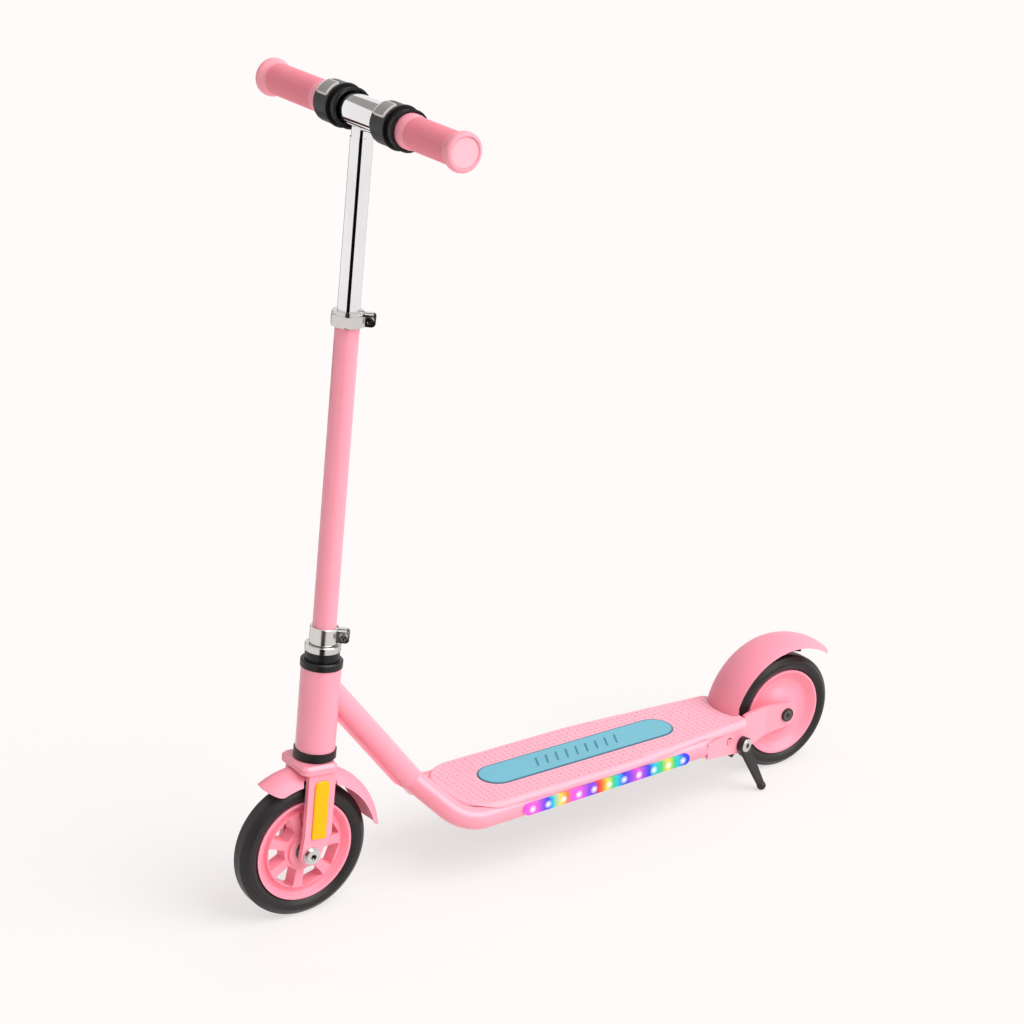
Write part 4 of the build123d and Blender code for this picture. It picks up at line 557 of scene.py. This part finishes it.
class SCOOTER_OT_plastics(bpy.types.Operator):
    """Finish the rear fender, rims, deck, collars, kickstand, reflectors and inner plastics"""

    bl_idname = "scooter.plastics"
    bl_label = "Plastics"

    def execute(self, context):
        tint = colours()
        shell = plastic("Pink moulding", tint.plastic, 0.34, 0.46, 700.0, 0.00003, 0.4)
        shell.put_on("brake_fender", "front_rim", "rear_rim")
        deck = plastic("Deck moulding", tint.deck, 0.5, 0.62, 1100.0, 0.0001, 0.35)
        deck.put_on("deck_tray")
        black = plastic("Black moulding", tint.black, 0.28, 0.4, 900.0, 0.00003, 0.35)
        black.put_on("left_collar", "right_collar", "lower_headset_cup", "upper_headset_cup")
        under = plastic("Black cover", tint.black, 0.5, 0.6, 900.0, 0.00006, 0.2)
        under.put_on("under_cover", "battery_door", "brake_block")
        stand = plastic("Kickstand black", tint.stand, 0.36, 0.5, 700.0, 0.00005, 0.35)
        stand.put_on("kickstand_leg", "kickstand_bracket")
        disc = plastic("Grip end plastic", tint.grip_end, 0.3, 0.42, 600.0, 0.00003, 0.4)
        disc.put_on("left_grip_end", "right_grip_end")
        cells = plastic("Cell wrap", display(80, 146, 92), 0.35, 0.5, 500.0, 0.00002)
        cells.put_on("battery_cells")
        self.reflectors(tint)
        return {"FINISHED"}

    def reflectors(self, tint):
        """Amber with small prisms: a grid of tiny facets under the clear face."""
        amber = plastic("Amber reflector", tint.amber, 0.2, 0.3, 800.0, 0.00003, 0.2)
        cells = amber.nodes.new("ShaderNodeTexVoronoi")
        cells.inputs["Scale"].default_value = 420.0
        cells.inputs["Randomness"].default_value = 0.12
        place = amber.nodes.new("ShaderNodeTexCoord")
        amber.links.new(place.outputs["Object"], cells.inputs["Vector"])
        amber.bump(cells.outputs["Distance"], 0.0003, 0.35)
        amber.overlay(amber.spread(cells.outputs["Distance"], 0.0, 0.2, 0.35, 0.75), display(255, 192, 20))
        amber.put_on("reflectors")


class SCOOTER_OT_pad(bpy.types.Operator):
    """Finish the deck's pad, with painted shade on its ribs and in the gap round its rim"""

    bl_idname = "scooter.pad"
    bl_label = "Deck pad"

    def execute(self, context):
        made = plastic("Pad rubber", colours().pad, 0.5, 0.64, 1500.0, 0.00008, 0.35)
        low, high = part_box("deck_pad")
        middle = (low + high) / 2
        half = (high.y - low.y) / 2
        run = (high.x - low.x) / 2 - half
        rim_line = half - 0.0021, half - 0.0013
        rib_depth = high.z - 0.0005, high.z - 0.0002
        panel = made.place(panel_group(), Centre=tuple(middle), Along=(1, 0, 0), Across=(0, 1, 0), Run=run)
        # Painted shade: dark band along the pad's rim, for the shadow in the gap round it.
        made.overlay(made.spread(panel.outputs["Spine"], 0.0, 1.0, *rim_line), colours().pad_rib_and_gap_shade)
        split = made.nodes.new("ShaderNodeSeparateXYZ")
        place = made.nodes.new("ShaderNodeTexCoord")
        made.links.new(place.outputs["Object"], split.inputs["Vector"])
        # Painted shade: the ribs darkened where they stand above the pad, for the shade of its grooves.
        ribs = made.spread(split.outputs["Z"], 0.0, 0.8, *rib_depth)
        made.overlay(ribs, colours().pad_rib_and_gap_shade)
        made.put_on("deck_pad")
        return {"FINISHED"}


class SCOOTER_OT_buttons(bpy.types.Operator):
    """Finish the two release buttons, with a painted highlight on their edges, and the light button, with painted
    shade in its gap and down its middle
    """

    bl_idname = "scooter.buttons"
    bl_label = "Buttons"

    def execute(self, context):
        tint = colours()
        # Painted highlight: a bright band just inside each release button's edge.
        edge_highlight_line = -0.0019, -0.0012
        for side in ("left", "right"):
            made = plastic(f"Grey moulding, {side}", tint.grey, 0.34, 0.46, 900.0, 0.00004, 0.4)
            out = -Vector(JOINTS[f"{side}_release_press"]["axis"])
            across = out.cross(Vector((0, 1, 0)))
            edge = self.panel(made, f"{side}_release_button", (0, 1, 0), across, 0.0).outputs["Edge"]
            made.overlay(made.spread(edge, 0.0, 1.0, *edge_highlight_line), tint.grey_rim_highlight)
            made.put_on(f"{side}_release_button")
        made = plastic("Light button moulding", tint.plastic, 0.34, 0.46, 700.0, 0.00003, 0.4)
        along = Vector(JOINTS["light_button_press"]["axis"]).cross(Vector((0, 0, 1)))
        low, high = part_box("light_button")
        half = (high.z - low.z) / 2
        gap_shade_line, middle_shade_line, pill_run = (half - 0.0022, half - 0.0014), (0.0003, 0.0006), 0.0013
        panel = self.panel(made, "light_button", along, (0, 0, 1), pill_run)
        # Painted shade: a dark ring in the gap round the light button and a dark line down its middle.
        made.overlay(made.spread(panel.outputs["Spine"], 0.0, 1.0, *gap_shade_line), tint.socket_shade)
        made.overlay(made.spread(panel.outputs["From Middle"], 1.0, 0.0, *middle_shade_line), tint.socket_shade)
        made.put_on("light_button")
        return {"FINISHED"}

    def panel(self, made, node, along, across, run):
        """The panel group set on a node's box, with its half sizes along and across."""
        low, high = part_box(node)
        corners = [Vector((x, y, z)) for x in (low.x, high.x) for y in (low.y, high.y) for z in (low.z, high.z)]
        middle = (low + high) / 2
        half_along = max((corner - middle).dot(Vector(along)) for corner in corners)
        half_across = (high.x - low.x) / 2 / max(abs(Vector(across).x), 0.001)
        values = {"Centre": tuple(middle), "Along": tuple(along), "Across": tuple(across), "Run": run}
        return made.place(panel_group(), Half_Along=half_along, Half_Across=half_across, **values)


class SCOOTER_OT_metals(bpy.types.Operator):
    """Finish the chrome, clamps, bolts and bearings"""

    bl_idname = "scooter.metals"
    bl_label = "Metals"

    def execute(self, context):
        tint = colours()
        chrome = metal("Chrome", tint.chrome, 0.03, 0.07, 300.0, 0.1, 0.000001)
        chrome.put_on("handlebar")
        steel = metal("Bright steel", tint.steel, 0.14, 0.26, 900.0, 0.2, 0.00001)
        steel.put_on("stem_clamp", "height_clamp", "clamp_bolts", "headset_locknut", "front_axle_spacers")
        steel.put_on("left_grip_tube", "right_grip_tube", "battery_door_screws")
        self.socketed("Kickstand bolt steel", JOINTS["kickstand_fold"], "kickstand_bolt")
        self.socketed("Front axle steel", JOINTS["front_wheel_spin"], "front_axle", "front_axle_nut")
        dull = metal("Plain steel", tint.dull_steel, 0.28, 0.42, 900.0, 0.3, 0.00001)
        dull.put_on("headset_bearings", "front_bearings", "rear_bearings", "front_bearing_spacer")
        dull.put_on("rear_bearing_spacer", "rear_axle_spacers", "rear_axle", "brake_pin", "brake_spring")
        caps = plastic("Axle cap moulding", tint.cap, 0.36, 0.5, 900.0, 0.00005, 0.35)
        hub = JOINTS["rear_wheel_spin"]
        distance = caps.round_axis(hub["pos_m"], hub["axis"])
        rim_line, socket_shade_line = (0.0056, 0.0062), (0.0024, 0.0032)
        caps.overlay(caps.spread(distance, 0.0, 1.0, *rim_line), tint.stand)
        # Painted shade: dark middle of each cap for its hex socket.
        caps.overlay(caps.spread(distance, 0.9, 0.0, *socket_shade_line), tint.socket_shade)
        caps.put_on("rear_axle_caps")
        return {"FINISHED"}

    def socketed(self, name, joint, *nodes):
        """Bright steel with painted shade: a dark disc inside the bolt's hex recess round a joint's axis."""
        socket_shade_line = 0.0026, 0.0026 + 0.0004
        made = metal(name, colours().steel, 0.14, 0.26, 900.0, 0.2, 0.00001)
        distance = made.round_axis(joint["pos_m"], joint["axis"])
        made.overlay(made.spread(distance, 1.0, 0.0, *socket_shade_line), colours().socket_shade)
        made.put_on(*nodes)


class SCOOTER_OT_tyres(bpy.types.Operator):
    """Finish the tyres, with fine moulding rings on their walls"""

    bl_idname = "scooter.tyres"
    bl_label = "Tyres"

    def execute(self, context):
        ring_pitch, ring_depth = 0.004, 0.00012
        for wheel in ("front", "rear"):
            made = Finish(f"{wheel.title()} tyre rubber", 800.0)
            made.tone(colours().tyre, 0.85, 1.15)
            made.rough(0.36, 0.48)
            made.shader.inputs["Specular IOR Level"].default_value = 0.35
            grain = made.bump(made.vary.outputs["Grain"], 0.00004)
            hub = JOINTS[f"{wheel}_wheel_spin"]
            distance = made.round_axis(hub["pos_m"], hub["axis"])
            turns = combine(made.nodes, made.links, "MULTIPLY", distance, 2 * math.pi / ring_pitch)
            rings = combine(made.nodes, made.links, "SINE", turns, None)
            made.bump(rings, ring_depth, 0.6, grain)
            made.put_on(f"{wheel}_tyre")
        return {"FINISHED"}


class SCOOTER_OT_grips(bpy.types.Operator):
    """Build both grips with their rows of small bumps"""

    bl_idname = "scooter.grips"
    bl_label = "Grips"

    def execute(self, context):
        made = plastic("Grip rubber", colours().grip, 0.48, 0.6, 1300.0, 0.00004, 0.35)
        # Painted shade between the grip's bumps, where the relief is low.
        made.relief(colours().grip_hollow_shade)
        for side, way in (("left", 1), ("right", -1)):
            points, quads, relief = self.sleeve(side, way)
            name = f"{side}_grip_sleeve"
            piece = mesh_piece(name, points, quads, f"{side}_handgrip", made.material, relief)
            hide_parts(f"{side}_grip")
        return {"FINISHED"}

    def sleeve(self, side, way):
        """Surface of turning: radius(y) from a closed profile, plus bumps h * c(y) * c(angle) on the barrel.

        c is the positive part of a cosine to the power square, so that the bumps are rounded squares in rows.
        The relief value is 1 on the smooth parts and on top of the bumps, and 0 between the bumps.
        """
        square, per_bump, clear, barrel_share = 0.6, 6, 0.0001, 16 / 19
        low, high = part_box(f"{side}_grip")
        inner, outer = (low.y, high.y) if way > 0 else (-high.y, -low.y)
        disc_low, disc_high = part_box(f"{side}_grip_end")
        seat = disc_low.y if way > 0 else -disc_high.y
        recess = (disc_high.x - disc_low.x) / 2 + clear
        tube_low, tube_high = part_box(f"{side}_grip_tube")
        bore = (tube_high.x - tube_low.x) / 2 + clear
        end = (high.x - low.x) / 2
        barrel = end * barrel_share
        waist = barrel - 0.0004
        start, stop = inner + 0.0155, outer - 0.0165
        corners = np.array([
            (inner, bore), (inner, barrel + 0.0003), (inner + 0.0006, barrel + 0.0008),
            (inner + 0.0026, barrel + 0.0009), (inner + 0.0090, barrel + 0.0008), (inner + 0.0115, barrel + 0.0004),
            (start - 0.0015, waist + 0.0001), (start, waist), (stop, waist), (stop + 0.0020, waist + 0.0001),
            (outer - 0.0105, barrel + 0.0003), (outer - 0.0085, end - 0.0009), (outer - 0.0070, end - 0.0002),
            (outer - 0.0045, end),
            (outer - 0.0022, end - 0.0003), (outer - 0.0007, end - 0.0013), (outer, end - 0.0030), (outer, recess),
            (seat, recess), (seat, bore),
        ])
        rows = int((stop - start) / (2 * math.pi * barrel / sizes().bump_rows)) * per_bump
        along = np.linspace(start, stop, rows + 1)[1:-1]
        profile = np.vstack([corners[:8], np.column_stack([along, np.full(len(along), waist)]), corners[8:]])
        columns = sizes().bump_rows * per_bump
        angle = np.arange(columns) * 2 * math.pi / columns
        around = np.clip(np.cos(angle * sizes().bump_rows), 0, 1) ** square
        steps = (profile[:, 0] - start) / (stop - start) * rows / per_bump
        inside = (profile[:, 0] >= start) & (profile[:, 0] <= stop) & (np.abs(profile[:, 1] - waist) < 0.00001)
        lengthwise = np.where(inside, np.clip(-np.cos(2 * math.pi * steps), 0, 1) ** square, 0)
        rise = lengthwise[:, None] * around[None, :]
        radius = profile[:, 1][:, None] + sizes().bump_height * rise
        middle_point, axis = bar_middle()
        forward = Vector((axis.z, 0, -axis.x))
        across = radius[..., None] * (
            np.cos(angle)[None, :, None] * np.array(forward) + np.sin(angle)[None, :, None] * np.array(axis)
        )
        sideways = np.array([0, way, 0]) * profile[:, 0][:, None, None]
        points = (np.array(middle_point) + across + sideways).reshape(-1, 3)
        quads = ring_quads(len(profile), columns)
        relief = np.where(inside[:, None], rise, 1.0).reshape(-1)
        return points, quads[:, ::-1] if way > 0 else quads, relief


class SCOOTER_OT_front_fender(bpy.types.Operator):
    """Build the front fender with its round ends"""

    bl_idname = "scooter.front_fender"
    bl_label = "Front fender"

    def execute(self, context):
        made = plastic("Fender moulding", colours().plastic, 0.34, 0.46, 700.0, 0.00003, 0.4)
        points, quads = self.shell()
        piece = mesh_piece("front_fender_shell", points, quads, "steering", made.material)
        piece.data.set_sharp_from_angle(angle=math.radians(42))
        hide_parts("front_fender")
        return {"FINISHED"}

    def bow(self, half, sag):
        """Radius of the circle through a chord of a half length and its sag."""
        return (half * half + sag * sag) / (2 * sag)

    def half_width(self, angle, start, end, radius, half):
        """Half width of the band: full, narrowing to a round end over a length, and to the fork legs between."""
        front_round, rear_round, square, tip_half = 0.015, 0.022, 2.8, 0.0012
        leg_front, leg_rear, leg_blend, leg_half = 80.0, 110.0, 2.0, 0.0172
        ends = []
        for gone, over in ((angle - start, front_round), (end - angle, rear_round)):
            past = np.clip(1 - gone * radius / over, 0, 1)
            ends.append(half * (1 - past**square) ** (1 / square))
        turn = np.degrees(angle)
        beside = np.clip(np.minimum(turn - leg_front, leg_rear - turn) / leg_blend, 0, 1)
        legs = half + (leg_half - half) * beside * beside * (3 - 2 * beside)
        return np.maximum(np.minimum(np.minimum(*ends), legs), tip_half)

    def shell(self):
        """Arched band with a wall: hub + r(y) * (cos(a) * forward + sin(a) * up) + y, with y = s * half width(a).

        r(y) falls from the middle to the edges along a circle. The inner wall is the same with a smaller circle, and
        each row of points runs over the outer wall and back along the inner one. Strips close both ends.
        """
        radius, drop, thick, half = 0.090, 0.013, 0.0025, 0.021
        start, end = math.radians(56.0), math.radians(172.0)
        rows, across, tip_share = 141, 25, 0.45
        share = (1 - np.cos(np.linspace(0, math.pi, rows))) / 2
        angle = start + (end - start) * share
        wide = self.half_width(angle, start, end, radius, half)[:, None]
        s = np.linspace(-1, 1, across)[None, :]
        outer_bow, inner_bow = self.bow(half, drop), self.bow(half - thick, drop - thick)
        y_out = s * wide
        y_in = -s * np.maximum(wide - thick, wide * tip_share)
        r_out = radius - outer_bow + np.sqrt(outer_bow**2 - y_out**2)
        r_in = radius - thick - inner_bow + np.sqrt(inner_bow**2 - y_in**2)
        y, r = np.hstack([y_out, y_in]), np.hstack([r_out, r_in])
        up = np.array(JOINTS["steering_turn"]["axis"])
        forward = np.array([up[2], 0, -up[0]])
        spoke = np.cos(angle)[:, None] * forward + np.sin(angle)[:, None] * up
        hub = np.array(JOINTS["front_wheel_spin"]["pos_m"])
        points = hub + r[..., None] * spoke[:, None, :] + y[..., None] * np.array([0, 1, 0])
        columns = 2 * across
        walls = ring_quads(rows, columns)[:-columns]
        k = np.arange(across - 1)
        near = np.stack([k + 1, k, columns - 1 - k, columns - 2 - k], axis=-1)
        far = near[:, ::-1] + (rows - 1) * columns
        return points.reshape(-1, 3), np.vstack([walls, near, far])


class SCOOTER_OT_deck_studs(bpy.types.Operator):
    """Build the raised studs on the deck, round the pad"""

    bl_idname = "scooter.deck_studs"
    bl_label = "Deck studs"

    def execute(self, context):
        made = plastic("Deck stud moulding", colours().deck, 0.5, 0.62, 1100.0, 0.0001, 0.35)
        # Painted shade round the foot of each stud, where the relief is low.
        made.relief(colours().deck_stud_foot_shade)
        points, quads, relief = self.studs()
        mesh_piece("deck_studs", points, quads, "frame", made.material, relief)
        return {"FINISHED"}

    def studs(self):
        """Small oblong domes on a basket-weave grid: rings of a rounded oblong that rise and draw in.

        The relief value is 0 at the foot of a stud and 1 on its top. Three faces close each end.
        """
        sides, lanes, half_long, half_wide, sunk = 8, 17, 0.0026, 0.0009, 0.0001
        low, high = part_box("deck_tray")
        pitch = sizes().stud_pitch
        top = self.top_height()
        x = np.arange(low.x + pitch, high.x - pitch / 2, pitch)
        y = (np.arange(lanes) - lanes // 2) * pitch
        row, column = np.meshgrid(np.arange(len(x)), np.arange(len(y)), indexing="ij")
        place = np.stack([x[row], y[column]], axis=-1).reshape(-1, 2)
        turned = ((row + column) % 2).reshape(-1)
        keep = self.on_top(place, top)
        place, turned = place[keep], turned[keep]
        around = (np.arange(sides) + 0.5) * 2 * math.pi / sides
        oblong = np.stack([np.cos(around) * half_long, np.sin(around) * half_wide], axis=-1)
        rings = np.array([1.0, 0.85, 0.45])
        each = len(rings) * sides
        flat = (rings[:, None, None] * oblong[None]).reshape(-1, 2)
        swapped = flat[:, ::-1] * np.array([1, -1])
        shape = np.where(turned[:, None, None] == 0, flat[None], swapped[None])
        height = sizes().stud_height
        lift = np.repeat(np.array([-sunk, 0.8 * height, height]), sides)
        heights = np.broadcast_to(top + lift, (len(place), each))[..., None]
        points = np.concatenate([place[:, None, :] + shape, heights], axis=-1)
        cap = np.array([[0, 1, 2, 3], [0, 3, 4, 7], [4, 5, 6, 7]])
        walls = ring_quads(len(rings), sides)[:-sides]
        faces = np.vstack([walls, cap + each - sides, cap[:, ::-1]])
        quads = (faces[None] + each * np.arange(len(place))[:, None, None]).reshape(-1, 4)
        relief = np.tile(np.repeat(np.array([0.0, 0.55, 1.0]), sides), len(place))
        return points.reshape(-1, 3), quads, relief

    def top_height(self):
        """Height of the deck's flat top: its highest face that looks straight up."""
        mesh = NODES["deck_tray"].data
        return max(face.center.z for face in mesh.polygons if face.normal.z > 0.999)

    def on_top(self, place, top):
        """True where a stud's middle and its four sides all stand on the flat top of the deck, clear of the pad."""
        tray = NODES["deck_tray"].data
        corners = [vertex.co for vertex in tray.vertices]
        tree = BVHTree.FromPolygons(corners, [tuple(face.vertices) for face in tray.polygons])
        far, flat_within = 0.0031, 0.0001
        reach = np.array([(0, 0), (far, 0), (-far, 0), (0, far), (0, -far)])
        spots = (place[:, None, :] + reach[None]).reshape(-1, 2)
        down = Vector((0, 0, -1))
        hits = [tree.ray_cast(Vector((spot[0], spot[1], top + 0.05)), down)[0] for spot in spots]
        flat = np.array([hit is not None and abs(hit.z - top) < flat_within for hit in hits])
        return flat.reshape(len(place), len(reach)).all(axis=1)


class SCOOTER_OT_lights(bpy.types.Operator):
    """Light the strips along the deck"""

    bl_idname = "scooter.lights"
    bl_label = "Light strips"

    def execute(self, context):
        glow = self.glow()
        glow.put_on("light_lenses")
        board = plastic("Light board", display(236, 236, 240), 0.3, 0.4, 600.0, 0.00002)
        board.put_on("light_boards")
        return {"FINISHED"}

    def glow(self):
        """Coloured diffuser: a run of colours along the strip, with a white spot over each light."""
        made = Finish("Lit diffuser", 900.0)
        nodes, links = made.nodes, made.links
        low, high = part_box("light_lenses")
        place = nodes.new("ShaderNodeTexCoord")
        split = nodes.new("ShaderNodeSeparateXYZ")
        links.new(place.outputs["Object"], split.inputs["Vector"])
        along = made.spread(split.outputs["X"], 1.0, 0.0, low.x, high.x)
        run = nodes.new("ShaderNodeValToRGB")
        magenta, violet, blue, cyan = (240, 90, 225), (135, 65, 235), (25, 60, 235), (20, 205, 225)
        green, yellow, orange, red = (50, 215, 120), (250, 225, 60), (255, 125, 30), (240, 25, 35)
        stops = [
            (0.02, magenta), (0.07, magenta), (0.11, violet), (0.14, blue), (0.165, cyan), (0.21, yellow),
            (0.25, orange), (0.28, magenta), (0.33, magenta), (0.38, violet), (0.415, violet), (0.435, red),
            (0.46, orange), (0.49, yellow), (0.525, green), (0.55, cyan), (0.59, blue), (0.63, violet),
            (0.68, magenta), (0.72, violet), (0.745, blue), (0.78, cyan), (0.82, green),
            (0.865, yellow), (0.90, green), (0.925, cyan), (0.96, blue),
        ]
        elements = run.color_ramp.elements
        for number, (position, value) in enumerate(stops):
            stop = elements[number] if number < 2 else elements.new(position)
            stop.position = position
            stop.color = display(*value) + (1.0,)
        links.new(along, run.inputs["Fac"])
        spot = self.spots(made, split, low, high)
        mix = nodes.new("ShaderNodeMix")
        mix.data_type = "RGBA"
        mix.inputs["B"].default_value = (1, 1, 1, 1)
        links.new(spot, mix.inputs["Factor"])
        links.new(run.outputs["Color"], mix.inputs["A"])
        links.new(mix.outputs["Result"], made.shader.inputs["Emission Color"])
        made.shader.inputs["Emission Strength"].default_value = 0.95
        made.set_base(run.outputs["Color"])
        made.overlay(made.spread(made.vary.outputs["Grain"], 0.88, 0.96), (0.02, 0.02, 0.03))
        made.rough(0.18, 0.3)
        made.shader.inputs["Specular IOR Level"].default_value = 0.2
        return made

    def spots(self, made, split, low, high):
        """White spots: 1 near each light's middle, falling to 0 at a few millimetres."""
        spot_line = 0.0010, 0.0050
        nodes, links = made.nodes, made.links
        pitch = (high.x - low.x) / sizes().light_count
        shift = combine(nodes, links, "SUBTRACT", split.outputs["X"], low.x + pitch / 2)
        fold = combine(nodes, links, "PINGPONG", shift, pitch / 2)
        rise = combine(nodes, links, "SUBTRACT", split.outputs["Z"], (low.z + high.z) / 2)
        both = nodes.new("ShaderNodeCombineXYZ")
        links.new(fold, both.inputs["X"])
        links.new(rise, both.inputs["Z"])
        distance = nodes.new("ShaderNodeVectorMath")
        distance.operation = "LENGTH"
        links.new(both.outputs["Vector"], distance.inputs[0])
        return made.spread(distance.outputs["Value"], 1.0, 0.0, *spot_line)


class SCOOTER_PT_dresser(bpy.types.Panel):
    """Sidebar panel with every step and setting"""

    bl_label = "Kick scooter"
    bl_idname = "SCOOTER_PT_dresser"
    bl_space_type = "VIEW_3D"
    bl_region_type = "UI"
    bl_category = "Scooter"

    def draw(self, context):
        for step in STEPS:
            self.layout.operator(step.bl_idname)
        for settings in (context.scene.scooter_colours, context.scene.scooter_sizes):
            for name in settings.bl_rna.properties.keys():
                if name not in ("rna_type", "name"):
                    self.layout.prop(settings, name)


STEPS = (
    SCOOTER_OT_stage,
    SCOOTER_OT_paint,
    SCOOTER_OT_plastics,
    SCOOTER_OT_pad,
    SCOOTER_OT_buttons,
    SCOOTER_OT_metals,
    SCOOTER_OT_tyres,
    SCOOTER_OT_grips,
    SCOOTER_OT_front_fender,
    SCOOTER_OT_deck_studs,
    SCOOTER_OT_lights,
)
CLASSES = (ScooterColours, ScooterSizes, *STEPS, SCOOTER_PT_dresser)


def register():
    """Add the classes and the scene's settings."""
    for kind in CLASSES:
        bpy.utils.register_class(kind)
    bpy.types.Scene.scooter_colours = PointerProperty(type=ScooterColours)
    bpy.types.Scene.scooter_sizes = PointerProperty(type=ScooterSizes)


def unregister():
    """Take the classes and the scene's settings away."""
    del bpy.types.Scene.scooter_sizes
    del bpy.types.Scene.scooter_colours
    for kind in reversed(CLASSES):
        bpy.utils.unregister_class(kind)


def main():
    """Run every step in order."""
    register()
    for step in STEPS:
        group, name = step.bl_idname.split(".")
        getattr(getattr(bpy.ops, group), name)()


if __name__ == "__main__":
    main()
